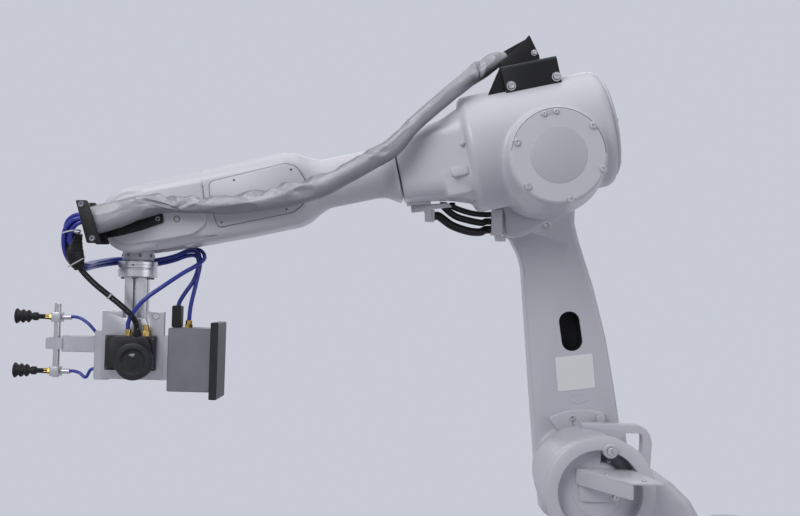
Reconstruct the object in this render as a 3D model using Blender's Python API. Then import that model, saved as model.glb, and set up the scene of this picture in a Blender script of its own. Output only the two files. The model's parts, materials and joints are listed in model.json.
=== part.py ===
"""Industrial robot arm, six axes, with a dressed forearm and a pick tool.

Metres. The origin is on axis 1 in the plane of the foot, +Z is up, +X is forward and +Y is the robot's left.
The rest pose is the pose of the photograph.
"""
import math

import bmesh
import bpy
from mathutils import Matrix, Vector

# Where the axes lie at rest
SHOULDER_X = 0.150
SHOULDER_Z = 0.450
ARM_LENGTH = 0.630
ARM_LEAN_DEG = 9.0
ELBOW_RISE = 0.050
FOREARM_LENGTH = 0.810
FOREARM_DIP_DEG = 13.0

# Base and turret
FOOT_LENGTH = 0.560
FOOT_WIDTH = 0.460
FOOT_THICKNESS = 0.032
FOOT_BOLT_R = 0.011
FOOT_BOLT_INSET = 0.045
BASE_TOP_Z = 0.186
BASE_TOP_R = 0.172
TURRET_R = 0.196
RING_R = 0.104
RING_WALL = 0.024
RING_FRONT_Y = 0.100
RECESS_Y = 0.022
JOINT_GAP = 0.0050
TURRET_SIDE_Y = -0.118
MOTOR1_X = -0.130

# Lower arm
ARM_FRONT_Y = -0.152
ARM_BACK_Y = -0.236
HEAD_R = 0.100
FOOT_END_R = 0.115
SLOT_W = 0.044
SLOT_H = 0.084
SLOT_DEEP = 0.050

# Housing
BARREL_R = 0.115
BARREL_REAR = -0.125
BARREL_FRONT = 0.156
COVER_R = 0.089
COVER_Y = 0.1463
COVER_THICK = 0.0058
DISC_R = 0.052
SEAM_S = 0.290
SEAM_HALF = 0.0655
SEAM_GAP = 0.0020

# Forearm
TUBE_R = 0.0485
WIDE_HALF = 0.0722
WIDE_HALF_Y = 0.0630
WRIST_R = 0.0635
FORK_HALF = 0.0430
FORK_DEEP = 0.0840

# Wrist and tool
TILT_R = 0.052
TILT_HALF = 0.0375
NECK_R = 0.0305
FLANGE_R = 0.0378
NECK_Z = 0.8620
BAND_AHEAD = 0.0215
FLANGE_TOP_Z = 0.8600
POST_HALF = 0.020
TUBE_SMALL_R = 0.0042
FIT_GAP = 0.0003
RUN_GAP = 0.0004
SPIGOT_LONG = 0.012
BASE_SPIGOT_R = 0.100
ARM_SPIGOT_R = 0.060
FOREARM_SPIGOT_R = 0.040
TILT_PIN_R = 0.020
FLANGE_SPIGOT_R = 0.018

LEAN = math.radians(ARM_LEAN_DEG)
DIP = math.radians(FOREARM_DIP_DEG)
AXIS2 = Vector((SHOULDER_X, 0.0, SHOULDER_Z))
AXIS3 = AXIS2 + Vector((math.sin(LEAN), 0.0, math.cos(LEAN))) * ARM_LENGTH
ALONG = Vector((math.cos(DIP), 0.0, -math.sin(DIP)))
OVER = Vector((math.sin(DIP), 0.0, math.cos(DIP)))
SIDE = Vector((0.0, 1.0, 0.0))
UP = Vector((0.0, 0.0, 1.0))
FWD = Vector((1.0, 0.0, 0.0))
HOSE_START = Vector((0.3370, 0.0130, 1.2775))
HOSE_START_DIR = Vector((0.0120, 0.0034, -0.0030)).normalized()
AXIS4 = AXIS3 + OVER * ELBOW_RISE
AXIS5 = AXIS4 + ALONG * FOREARM_LENGTH
TOOL_X = AXIS5.x

for obj in list(bpy.data.objects):
    bpy.data.objects.remove(obj, do_unlink=True)

ROBOT = bpy.data.collections.new("robot_arm")
CUTTERS = bpy.data.collections.new("cutters")
bpy.context.scene.collection.children.link(ROBOT)
bpy.context.scene.collection.children.link(CUTTERS)

PAINT = ("paint", (0.80, 0.80, 0.83), 0.38, 0.0)
LABEL = ("label_white", (0.90, 0.90, 0.90), 0.45, 0.0)
BLACK = ("black_coat", (0.03, 0.03, 0.035), 0.45, 0.0)
STEEL = ("bright_steel", (0.62, 0.62, 0.62), 0.28, 1.0)
ALU = ("machined_alu", (0.72, 0.72, 0.73), 0.35, 1.0)
ANOD = ("anodised_grey", (0.36, 0.36, 0.39), 0.42, 1.0)
SLEEVE = ("silver_fabric", (0.58, 0.58, 0.62), 0.40, 0.0)
BLUE = ("blue_tube", (0.05, 0.09, 0.42), 0.35, 0.0)
RUBBER = ("black_rubber", (0.02, 0.02, 0.02), 0.60, 0.0)
DARK = ("charcoal", (0.07, 0.07, 0.08), 0.50, 0.0)


def along(s, y, v):
    return AXIS4 + ALONG * s + SIDE * y + OVER * v


def material_of(obj, look):
    name, rgb, rough, metal = look
    mat = bpy.data.materials.new(obj.name + "_" + name)
    mat.use_nodes = True
    shader = mat.node_tree.nodes["Principled BSDF"]
    shader.inputs["Base Color"].default_value = (*rgb, 1.0)
    shader.inputs["Roughness"].default_value = rough
    shader.inputs["Metallic"].default_value = metal
    obj.data.materials.append(mat)


def finish(name, bm, look=None):
    """Turns a bmesh into a node, or into a helper when it has no look."""
    bmesh.ops.recalc_face_normals(bm, faces=bm.faces)
    mesh = bpy.data.meshes.new(name)
    bm.to_mesh(mesh)
    bm.free()
    mesh.polygons.foreach_set("use_smooth", [True] * len(mesh.polygons))
    mesh.set_sharp_from_angle(angle=math.radians(32))
    obj = bpy.data.objects.new(name, mesh)
    if look:
        ROBOT.objects.link(obj)
        material_of(obj, look)
    else:
        CUTTERS.objects.link(obj)
        obj.hide_render = True
        obj.display_type = "WIRE"
    return obj


def boolean(target, operation, *others):
    for other in others:
        step = target.modifiers.new(operation + "_" + other.name, "BOOLEAN")
        step.operation = operation
        step.solver = "EXACT"
        step.object = other
    return target


def join(target, *others):
    return boolean(target, "UNION", *others)


def cut(target, *others):
    return boolean(target, "DIFFERENCE", *others)


def rounded_rect(centre, a, b, half_a, half_b, radius, steps=3):
    points = []
    corners = ((1, 1, 0), (-1, 1, 90), (-1, -1, 180), (1, -1, 270))
    for sign_a, sign_b, start in corners:
        for i in range(steps + 1):
            t = math.radians(start + 90.0 * i / steps)
            out_a = (half_a - radius) * sign_a + radius * math.cos(t)
            out_b = (half_b - radius) * sign_b + radius * math.sin(t)
            points.append(centre + a * out_a + b * out_b)
    return points


def loft(name, rings, look=None):
    bm = bmesh.new()
    rows = [[bm.verts.new(p) for p in ring] for ring in rings]
    count = len(rows[0])
    for low, high in zip(rows, rows[1:]):
        for i in range(count):
            j = (i + 1) % count
            bm.faces.new((low[i], low[j], high[j], high[i]))
    bm.faces.new(rows[0])
    bm.faces.new(rows[-1])
    return finish(name, bm, look)


def lathe(name, origin, axis, profile, look=None, steps=32, closed=False):
    """Revolves (radius, distance along the axis) pairs. A closed profile makes a ring."""
    axis = axis.normalized()
    first = axis.orthogonal().normalized()
    second = axis.cross(first)
    bm = bmesh.new()
    rows = []
    for radius, height in profile:
        middle = origin + axis * height
        if radius <= 0.0:
            rows.append([bm.verts.new(middle)])
            continue
        row = []
        for i in range(steps):
            t = 2.0 * math.pi * i / steps
            row.append(bm.verts.new(middle + (first * math.cos(t) + second * math.sin(t)) * radius))
        rows.append(row)
    pairs = list(zip(rows, rows[1:]))
    if closed:
        pairs.append((rows[-1], rows[0]))
    for low, high in pairs:
        for i in range(steps):
            j = (i + 1) % steps
            if len(low) == 1 and len(high) == 1:
                break
            if len(low) == 1:
                bm.faces.new((low[0], high[j], high[i]))
            elif len(high) == 1:
                bm.faces.new((low[i], low[j], high[0]))
            else:
                bm.faces.new((low[i], low[j], high[j], high[i]))
    return finish(name, bm, look)


def rod(name, start, end, radius, look=None, steps=20):
    axis = end - start
    return lathe(name, start, axis, ((0, 0), (radius, 0), (radius, axis.length), (0, axis.length)), look, steps)


def block(name, centre, a, b, c, half, radius, look=None, edge=0.0, steps=2):
    """A box along a, b and c: round corners in the a-b outline, and a bevel of its ends."""
    half_a, half_b, half_c = half
    rings = []
    if edge:
        shell = ((-half_c, edge), (-half_c + edge, 0), (half_c - edge, 0), (half_c, edge))
    else:
        shell = ((-half_c, 0), (half_c, 0))
    for height, inset in shell:
        corner = max(radius - inset, 0.0002)
        rings.append(rounded_rect(centre + c * height, a, b, half_a - inset, half_b - inset, corner, steps))
    return loft(name, rings, look)


def box(name, low, high, radius=0.002, look=None, edge=0.0):
    low, high = Vector(low), Vector(high)
    half = (high - low) / 2
    return block(name, (low + high) / 2, FWD, UP, SIDE, (half.x, half.z, half.y), radius, look, edge)


def fillet(points, radius, steps=3):
    """Rounds the corners of a closed outline. A point may carry its own radius as a third value."""
    out = []
    count = len(points)
    for i in range(count):
        here = Vector(points[i][:2])
        r = points[i][2] if len(points[i]) > 2 else radius
        back = (Vector(points[i - 1][:2]) - here)
        ahead = (Vector(points[(i + 1) % count][:2]) - here)
        angle = back.angle(ahead)
        if r <= 0 or angle > math.radians(174):
            out.append(here)
            continue
        reach = min(r / math.tan(angle / 2), back.length * 0.48, ahead.length * 0.48)
        start = here + back.normalized() * reach
        end = here + ahead.normalized() * reach
        for k in range(steps + 1):
            t = k / steps
            out.append(start * (1 - t) ** 2 + here * 2 * t * (1 - t) + end * t ** 2)
    return out


def arc(centre, radius, start, end, steps):
    points = []
    for i in range(steps + 1):
        t = math.radians(start + (end - start) * i / steps)
        points.append((centre[0] + radius * math.cos(t), centre[1] + radius * math.sin(t), 0))
    return points


def prism(name, outline, origin, a, b, c, low, high, look=None, bevel=(0.0, 0.0), segments=2):
    """Extrudes an outline in the a-b plane from low to high along c, with a bevel of each end."""
    bm = bmesh.new()
    ends = []
    for height in (low, high):
        ends.append([bm.verts.new(origin + a * p[0] + b * p[1] + c * height) for p in outline])
    count = len(outline)
    caps = [bm.faces.new(ends[0]), bm.faces.new(ends[1])]
    for i in range(count):
        j = (i + 1) % count
        bm.faces.new((ends[0][i], ends[0][j], ends[1][j], ends[1][i]))
    bmesh.ops.recalc_face_normals(bm, faces=bm.faces)
    for cap, size in zip(caps, bevel):
        if size:
            bmesh.ops.bevel(bm, geom=list(cap.edges), offset=size, segments=segments, profile=0.5, affect="EDGES")
    return finish(name, bm, look)


def plate_xz(name, outline, low, high, look=None, bevel=(0.0, 0.0), segments=2):
    return prism(name, outline, Vector(), FWD, UP, SIDE, low, high, look, bevel, segments)


def smooth_path(points, count):
    """Even points along a smooth curve through the given ones."""
    points = [Vector(p) for p in points]
    ends = [points[0] * 2 - points[1]] + points + [points[-1] * 2 - points[-2]]
    fine = []
    for i in range(1, len(ends) - 2):
        p0, p1, p2, p3 = ends[i - 1:i + 3]
        for k in range(24):
            t = k / 24
            part_a = p1 * 2 + (p2 - p0) * t
            part_b = (p0 * 2 - p1 * 5 + p2 * 4 - p3) * t * t
            part_c = (p1 * 3 - p0 - p2 * 3 + p3) * t ** 3
            fine.append((part_a + part_b + part_c) * 0.5)
    fine.append(points[-1])
    lengths = [0.0]
    for p, q in zip(fine, fine[1:]):
        lengths.append(lengths[-1] + (q - p).length)
    out = []
    k = 0
    for i in range(count):
        want = lengths[-1] * i / (count - 1)
        while k < len(fine) - 2 and lengths[k + 1] < want:
            k += 1
        span = max(lengths[k + 1] - lengths[k], 1e-9)
        out.append(fine[k].lerp(fine[k + 1], min(1.0, (want - lengths[k]) / span)))
    return out


def tube(name, points, radii, look, count=24, steps=10, beside=(0.0, 0.0), faces=(None, None)):
    """A closed tube along a smooth path: one ring a point, carried along without twist.

    A strand of a bundle lies beside the path, at an angle in degrees and a distance. The ends may be told
    which way they face.
    """
    path = smooth_path(points, count)
    if not isinstance(radii, (list, tuple)):
        radii = [radii, radii]
    tangent = (path[1] - path[0]).normalized()
    normal = tangent.orthogonal().normalized()
    rings = []
    for i, p in enumerate(path):
        ahead = path[min(i + 1, count - 1)]
        behind = path[max(i - 1, 0)]
        turn = (ahead - behind).normalized()
        if i == 0 and faces[0]:
            turn = faces[0]
        if i == count - 1 and faces[1]:
            turn = faces[1]
        normal = (normal - turn * normal.dot(turn)).normalized()
        other = turn.cross(normal)
        where = i / (count - 1) * (len(radii) - 1)
        k = min(int(where), len(radii) - 2)
        radius = radii[k] + (radii[k + 1] - radii[k]) * (where - k)
        turned = math.radians(beside[0])
        p = p + (normal * math.cos(turned) + other * math.sin(turned)) * beside[1]
        rings.append([p + (normal * math.cos(t) + other * math.sin(t)) * radius
                      for t in [2 * math.pi * n / steps for n in range(steps)]])
    return loft(name, rings, look)


# Base, on the floor
def build_base():
    foot_x = 0.230 - FOOT_LENGTH / 2
    foot = block("base_casting", Vector((foot_x, 0, FOOT_THICKNESS / 2)), FWD, SIDE, UP,
                 (FOOT_LENGTH / 2, FOOT_WIDTH / 2, FOOT_THICKNESS / 2), 0.060, PAINT, 0.003, 4)
    body = loft("base_body", [
        rounded_rect(Vector((-0.020, 0, 0.026)), FWD, SIDE, 0.222, 0.196, 0.150, 5),
        rounded_rect(Vector((-0.016, 0, 0.055)), FWD, SIDE, 0.204, 0.184, 0.160, 5),
        rounded_rect(Vector((-0.008, 0, 0.110)), FWD, SIDE, 0.184, 0.176, 0.170, 5),
        rounded_rect(Vector((0, 0, BASE_TOP_Z - 0.022)), FWD, SIDE, BASE_TOP_R, BASE_TOP_R, BASE_TOP_R - 0.001, 5),
        rounded_rect(Vector((0, 0, BASE_TOP_Z)), FWD, SIDE, BASE_TOP_R, BASE_TOP_R, BASE_TOP_R - 0.001, 5),
    ])
    rear = block("base_rear", Vector((-0.215, 0, 0.083)), SIDE, UP, FWD, (0.122, 0.062, 0.095), 0.018, None, 0.006)
    join(foot, body, rear)
    cut(foot, rod("base_bore", Vector((0, 0, BASE_TOP_Z - SPIGOT_LONG)), Vector((0, 0, BASE_TOP_Z + 0.02)),
                  BASE_SPIGOT_R + RUN_GAP, None, 48))
    for i, (sx, sy) in enumerate(((1, 1), (1, -1), (-1, 1), (-1, -1))):
        at = Vector((foot_x + sx * (FOOT_LENGTH / 2 - FOOT_BOLT_INSET), sy * (FOOT_WIDTH / 2 - FOOT_BOLT_INSET), 0))
        cut(foot, rod("foot_hole_%d" % i, at + UP * -0.02, at + UP * 0.08, FOOT_BOLT_R, None, 20))
    block("connector_panel", Vector((-0.3133, 0, 0.084)), SIDE, UP, FWD, (0.106, 0.047, 0.003), 0.008, ANOD, 0.001)
    plug = rod("power_plug", Vector((-0.3166, 0.052, 0.090)), Vector((-0.352, 0.052, 0.090)), 0.024, DARK, 24)
    join(plug, block("power_plug_base", Vector((-0.3206, 0.052, 0.090)), SIDE, UP, FWD, (0.031, 0.031, 0.004), 0.004))
    port = rod("signal_plug", Vector((-0.3166, -0.050, 0.090)), Vector((-0.346, -0.050, 0.090)), 0.018, STEEL, 24)
    join(port, block("signal_plug_base", Vector((-0.3203, -0.050, 0.090)), SIDE, UP, FWD, (0.026, 0.026, 0.0037), 0.004))


# Turret, turns on axis 1
def build_turret():
    low = BASE_TOP_Z + JOINT_GAP
    turret = lathe("turret_casting", Vector(), UP, (
        (0, low - SPIGOT_LONG), (BASE_SPIGOT_R, low - SPIGOT_LONG), (BASE_SPIGOT_R, low), (BASE_TOP_R - 0.006, low), (BASE_TOP_R - 0.004, low + 0.006), (TURRET_R - 0.004, low + 0.010),
        (TURRET_R, low + 0.016), (TURRET_R, low + 0.044), (TURRET_R - 0.012, low + 0.054), (0, low + 0.060)),
        PAINT, 48)
    column = loft("turret_column", [
        rounded_rect(Vector((0.000, -0.006, 0.225)), FWD, SIDE, 0.168, 0.120, 0.100, 4),
        rounded_rect(Vector((0.018, -0.018, 0.270)), FWD, SIDE, 0.158, 0.099, 0.060, 4),
        rounded_rect(Vector((0.040, -0.026, 0.330)), FWD, SIDE, 0.136, 0.090, 0.030, 4),
        rounded_rect(Vector((0.064, -0.027, 0.390)), FWD, SIDE, 0.120, 0.089, 0.024, 4),
        rounded_rect(Vector((0.077, -0.027, 0.430)), FWD, SIDE, 0.109, 0.089, 0.020, 4),
        rounded_rect(Vector((0.098, -0.027, 0.467)), FWD, SIDE, 0.090, 0.088, 0.018, 4),
    ])
    shoulder = rod("turret_shoulder", Vector((SHOULDER_X, TURRET_SIDE_Y, SHOULDER_Z)),
                   Vector((SHOULDER_X, 0.020, SHOULDER_Z)), RING_R, None, 40)
    ring = lathe("turret_ring", Vector((SHOULDER_X, 0, SHOULDER_Z)), SIDE, (
        (0, -0.060), (RING_R, -0.060), (RING_R + 0.010, -0.020), (RING_R + 0.010, 0.030), (RING_R, 0.060),
        (RING_R, RING_FRONT_Y - 0.006), (RING_R - 0.006, RING_FRONT_Y),
        (RING_R - RING_WALL + 0.004, RING_FRONT_Y), (RING_R - RING_WALL, RING_FRONT_Y - 0.004),
        (RING_R - RING_WALL, RECESS_Y), (0, RECESS_Y)), None, 40)
    deck = block("turret_deck", Vector((MOTOR1_X, 0, 0.262)), FWD, SIDE, UP, (0.074, 0.082, 0.030), 0.050, None, 0.004, 4)
    lug = rod("turret_lug", Vector((0.133, RECESS_Y - 0.004, 0.5280)), Vector((0.133, 0.104, 0.5280)), 0.0135, None, 20)
    recess = rod("turret_recess", Vector((SHOULDER_X, RECESS_Y, SHOULDER_Z)), Vector((SHOULDER_X, 0.2, SHOULDER_Z)),
                 RING_R - RING_WALL, None, 40)
    motor_seat = rod("motor_seat", Vector((MOTOR1_X, 0, 0.292)), Vector((MOTOR1_X, 0, 0.5)), 0.0615, None, 32)
    join(turret, column, shoulder, ring, deck)
    arm_bore = rod("turret_bore", Vector((SHOULDER_X, TURRET_SIDE_Y - 0.02, SHOULDER_Z)),
                   Vector((SHOULDER_X, TURRET_SIDE_Y + SPIGOT_LONG, SHOULDER_Z)), ARM_SPIGOT_R + RUN_GAP, None, 38)
    cut(turret, recess, motor_seat, arm_bore)
    join(turret, lug)
    lathe("axis1_motor", Vector((MOTOR1_X, 0, 0.2923)), UP, (
        (0, 0), (0.058, 0), (0.058, 0.010), (0.051, 0.013), (0.051, 0.078), (0.055, 0.081), (0.055, 0.090),
        (0.050, 0.094), (0, 0.094)), PAINT, 32)
    lathe("axis2_motor", Vector((SHOULDER_X, RECESS_Y + FIT_GAP, SHOULDER_Z)), SIDE, (
        (0, 0), (0.060, 0), (0.060, 0.012), (0.053, 0.015), (0.053, 0.050), (0.048, 0.055), (0, 0.055)), PAINT, 32)
    ear_holes = fillet(((0.0345, 0.4985), (0.0345, 0.5415), (0.0785, 0.5405), (0.0785, 0.4985, 0.004)), 0.011)
    ear_outline = fillet([(0.018, 0.468, 0.004), (0.0145, 0.535, 0.020), (0.034, 0.5575, 0.020), (0.1585, 0.5590, 0.004)]
                         + arc((SHOULDER_X, SHOULDER_Z), RING_R + 2 * FIT_GAP, 86, 168, 10), 0.003)
    ear = plate_xz("lifting_ear", ear_outline, -0.092, -0.062, PAINT, (0.003, 0.003), 2)
    cut(ear, plate_xz("ear_hole", ear_holes, -0.11, -0.04))
    face_y = RECESS_Y + FIT_GAP + 0.055
    bracket = prism("motor_bracket", fillet(((0.193, 0.0806), (0.0886, 0.0806), (0.062, 0.222), (0.121, 0.222)), 0.006),
                    Vector((0, 0, 0.488)), FWD, SIDE, UP, 0.0, 0.004, PAINT)
    flange = prism("motor_bracket_flange", ((0.193, 0.081), (0.187, 0.081), (0.117, 0.220), (0.121, 0.220)),
                   Vector((0, 0, 0.462)), FWD, SIDE, UP, 0.0, 0.029)
    foot = plate_xz("motor_bracket_foot", fillet(((0.190, 0.4915), (0.100, 0.4915), (0.112, 0.430), (0.184, 0.430)), 0.006),
                    face_y + FIT_GAP, face_y + FIT_GAP + 0.005)
    join(bracket, flange, foot)


# Lower arm, turns on axis 2
def build_lower_arm():
    outline = [(0.2967, 0.9331), (0.2800, 0.9040), (0.2712, 0.8764), (0.2646, 0.8019), (0.2588, 0.7382),
               (0.2475, 0.6112), (0.2393, 0.5248), (0.2325, 0.4500), (0.2300, 0.4200), (0.2230, 0.3850)]
    outline += arc((SHOULDER_X, SHOULDER_Z), FOOT_END_R, -52, -178, 12)
    outline += [(0.0470, 0.5300), (0.0601, 0.5463), (0.0792, 0.6580), (0.0933, 0.7298), (0.1214, 0.8355),
                (0.1549, 0.9350), (0.1640, 0.9700)]
    outline += arc((AXIS3.x, AXIS3.z), HEAD_R - 0.006, 205, -20, 16)
    outline += [(0.3180, 0.9850)]
    arm = plate_xz("lower_arm_casting", [p[:2] for p in outline], ARM_BACK_Y, ARM_FRONT_Y, PAINT, (0.016, 0.012), 3)
    head = [(0.2967, 0.9331), (0.3113, 0.9380), (0.3160, 0.9550), (0.3180, 0.9850)]
    head += arc((AXIS3.x, AXIS3.z), HEAD_R, -20, 232, 20)
    head += [(0.2676, 0.9402)]
    head_pad = plate_xz("arm_head", [p[:2] for p in head], -0.200, TURRET_SIDE_Y - JOINT_GAP, None, (0.0, 0.004))
    hub = rod("arm_hub", Vector((SHOULDER_X, -0.180, SHOULDER_Z)),
              Vector((SHOULDER_X, TURRET_SIDE_Y - JOINT_GAP, SHOULDER_Z)), 0.092, None, 40)
    pad = plate_xz("arm_pad", fillet(((0.2169, 0.5601), (0.1586, 0.5825), (0.0975, 0.5736), (0.0940, 0.5486),
                                      (0.1300, 0.5470), (0.1281, 0.5310), (0.1781, 0.5131)), 0.008),
                   -0.170, -0.134, None, (0.0, 0.003))
    spigots = []
    for name, centre in (("arm_spigot_low", AXIS2), ("arm_spigot_high", AXIS3)):
        spigots.append(rod(name, centre + SIDE * -0.180, centre + SIDE * (TURRET_SIDE_Y - JOINT_GAP + SPIGOT_LONG),
                           ARM_SPIGOT_R, None, 40))
    join(arm, head_pad, hub, pad, *spigots)
    tilt = Vector((math.sin(LEAN), 0, math.cos(LEAN)))
    across = Vector((math.cos(LEAN), 0, -math.sin(LEAN)))
    middle = Vector((0.169, (ARM_FRONT_Y + 0.02 + ARM_FRONT_Y - SLOT_DEEP) / 2, 0.7407))
    slot = block("arm_slot", middle, across, tilt, SIDE, (SLOT_W / 2, SLOT_H / 2, (SLOT_DEEP + 0.02) / 2),
                 SLOT_W / 2 - 0.0005, None, 0.0, 6)
    cut(arm, slot)
    lathe("arm_cover_low", Vector((SHOULDER_X - 0.003, ARM_BACK_Y - FIT_GAP, SHOULDER_Z + 0.003)), -SIDE, (
        (0, 0), (0.084, 0), (0.084, 0.004), (0.076, 0.012), (0.040, 0.015), (0, 0.015)), PAINT, 40)
    lathe("arm_cover_high", Vector((AXIS3.x - 0.002, ARM_BACK_Y - FIT_GAP, AXIS3.z - 0.002)), -SIDE, (
        (0, 0), (0.072, 0), (0.072, 0.004), (0.065, 0.010), (0.034, 0.013), (0, 0.013)), PAINT, 40)
    label = fillet(((0.2010, 0.6845), (0.1225, 0.6951), (0.1147, 0.6232), (0.1931, 0.6127)), 0.003)
    plate_xz("label_plate", label, ARM_FRONT_Y + FIT_GAP, ARM_FRONT_Y + FIT_GAP + 0.0008, LABEL)
    rod("bumper_pin", Vector((0.107, -0.1337, 0.5605)), Vector((0.107, -0.1225, 0.5605)), 0.0085, RUBBER, 20)
    clip = fillet(((0.3530, 1.0190), (0.3350, 1.0190), (0.3184, 0.9852), (0.3164, 0.9550), (0.3118, 0.9350),
                   (0.3125, 0.9265), (0.3330, 0.9259), (0.3400, 0.9500), (0.3405, 0.9900)), 0.0005)
    clip = plate_xz("arm_clip", clip, -0.146, -0.138, ANOD)
    join(clip, box("arm_clip_block", (0.3215, -0.1400, 0.9380), (0.3455, -0.1180, 0.9920), 0.002, None, 0.001))


# Housing, turns on axis 3
def build_housing():
    barrel = lathe("housing_casting", AXIS4, ALONG, (
        (0, BARREL_REAR), (BARREL_R - 0.013, BARREL_REAR), (BARREL_R - 0.004, BARREL_REAR + 0.004),
        (BARREL_R, BARREL_REAR + 0.014), (BARREL_R, BARREL_FRONT - 0.006), (BARREL_R - 0.007, BARREL_FRONT),
        (0, BARREL_FRONT)), PAINT, 48)
    nose = loft("housing_nose", [
        rounded_rect(along(0.120, 0, 0), SIDE, OVER, 0.098, 0.098, 0.060, 4),
        rounded_rect(along(0.162, 0, -0.002), SIDE, OVER, 0.092, 0.089, 0.050, 4),
        rounded_rect(along(0.195, 0, -0.003), SIDE, OVER, 0.082, 0.076, 0.036, 4),
        rounded_rect(along(0.260, 0, -0.001), SIDE, OVER, 0.071, 0.067, 0.030, 4),
        rounded_rect(along(SEAM_S, 0, 0), SIDE, OVER, SEAM_HALF, SEAM_HALF, 0.030, 4),
    ])
    boss = lathe("housing_boss", Vector((AXIS3.x, 0, AXIS3.z)), SIDE, (
        (0, TURRET_SIDE_Y), (HEAD_R - 0.004, TURRET_SIDE_Y), (HEAD_R, -0.100), (HEAD_R + 0.004, 0.020),
        (0.103, 0.070), (0.096, 0.105), (COVER_R + 0.002, COVER_Y - 0.006), (COVER_R, COVER_Y - 0.002),
        (COVER_R - 0.002, COVER_Y - FIT_GAP), (0, COVER_Y - FIT_GAP)), None, 44)
    join(barrel, nose, boss)
    cut(barrel, rod("housing_bore", AXIS3 + SIDE * (TURRET_SIDE_Y - 0.02), AXIS3 + SIDE * (TURRET_SIDE_Y + SPIGOT_LONG),
                    ARM_SPIGOT_R + RUN_GAP, None, 38))
    cut(barrel, rod("nose_bore", along(SEAM_S + 0.02, 0, 0), along(SEAM_S - SPIGOT_LONG, 0, 0),
                    FOREARM_SPIGOT_R + RUN_GAP, None, 40))
    centre = Vector((AXIS3.x, COVER_Y, AXIS3.z))
    lathe("axis3_cover", centre, SIDE, (
        (0, 0), (COVER_R - 0.0015, 0), (COVER_R - 0.0008, 0.0015), (COVER_R - 0.004, 0.0040), (DISC_R + 0.006, COVER_THICK),
        (0, COVER_THICK)), PAINT, 56)
    lathe("cover_disc", centre + SIDE * (COVER_THICK + FIT_GAP), SIDE, (
        (0, 0), (DISC_R, 0), (DISC_R - 0.001, 0.0010), (0, 0.0012)), PAINT, 40)
    lathe("rear_cover", along(BARREL_REAR - FIT_GAP, 0, 0), -ALONG, (
        (0, 0), (0.098, 0), (0.098, 0.004), (0.094, 0.007), (0, 0.008)), PAINT, 48)
    leg, web, thick, floor = 0.0660, 0.1480, 0.0040, 0.0975
    channel = ((-leg, floor - 0.0026), (-leg, web - 0.006), (-leg + 0.006, web), (leg - 0.006, web), (leg, web - 0.006),
               (leg, floor - 0.0026), (leg - thick, floor), (leg - thick, web - thick - 0.003),
               (leg - thick - 0.003, web - thick), (-leg + thick + 0.003, web - thick),
               (-leg + thick, web - thick - 0.003), (-leg + thick, floor))
    bridge = prism("hose_bridge", channel, AXIS4, SIDE, OVER, ALONG, -0.050, 0.059, BLACK)
    gusset = prism("bridge_gusset", ((0.0560, 0.1478), (0.0600, 0.1478), (0.0930, 0.1000), (0.0890, 0.1000)),
                   AXIS4, ALONG, OVER, SIDE, -0.060, 0.060)
    join(bridge, gusset)
    cut(bridge, rod("bridge_clear", along(-0.08, 0, 0), along(0.12, 0, 0), BARREL_R + 2 * FIT_GAP, None, 48))
    clamp = block("hose_clamp", along(0.020, 0.012, 0.1690), ALONG, OVER, SIDE, (0.029, 0.0207, 0.034), 0.006, BLACK, 0.002)
    join(clamp, block("hose_clamp_top", along(0.002, 0.006, 0.1960), ALONG, OVER, SIDE, (0.011, 0.012, 0.016), 0.003))
    cut(clamp, rod("clamp_bore", HOSE_START - HOSE_START_DIR * 0.0005, HOSE_START + HOSE_START_DIR * 0.05, 0.0175, None, 24))
    clip = plate_xz("housing_clip", fillet(((0.4400, 0.9960), (0.5150, 0.9890), (0.5130, 0.9740), (0.4880, 0.9780),
                                            (0.4830, 0.9600), (0.4700, 0.9620), (0.4740, 0.9820), (0.4300, 0.9880)), 0.002),
                    -0.050, -0.042, ANOD, (0.001, 0.001), 1)
    tongue = prism("housing_clip_foot", ((0.2380, -0.0722), (0.2600, -0.0684), (0.2860, -0.0663), (0.2860, -0.0705),
                                         (0.2380, -0.0770)), AXIS4, ALONG, OVER, SIDE, -0.060, -0.032)
    join(clip, tongue, box("housing_clip_block", (0.4662, -0.0690, 0.9580), (0.4860, -0.0480, 0.9820), 0.002, None, 0.001))


# Cables between the housing and the head of the lower arm
def build_harness():
    low = ((0.4658, -0.0585, 0.9700), (0.4570, -0.0585, 0.9696), (0.4300, -0.0640, 0.9520), (0.3960, -0.0860, 0.9430),
           (0.3700, -0.1120, 0.9430), (0.3570, -0.1278, 0.9490), (0.3460, -0.1280, 0.9500))
    tube("harness_low", low, 0.0085, RUBBER, 20, 10, faces=(-FWD, -FWD))
    mid = ((0.4480, -0.0600, 0.9986), (0.4478, -0.0602, 0.9900), (0.4240, -0.0700, 0.9720), (0.3920, -0.0940, 0.9650),
           (0.3660, -0.1180, 0.9630), (0.3560, -0.1279, 0.9666), (0.3460, -0.1280, 0.9670))
    tube("harness_mid", mid, 0.0070, RUBBER, 20, 10, faces=(-UP, -FWD))
    top = ((0.4300, -0.0640, 0.9986), (0.4296, -0.0644, 0.9910), (0.4100, -0.0820, 0.9850), (0.3840, -0.1060, 0.9810),
           (0.3580, -0.1279, 0.9812), (0.3460, -0.1280, 0.9820))
    tube("harness_top", top, 0.0060, RUBBER, 16, 10, faces=(-UP, -FWD))


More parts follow.
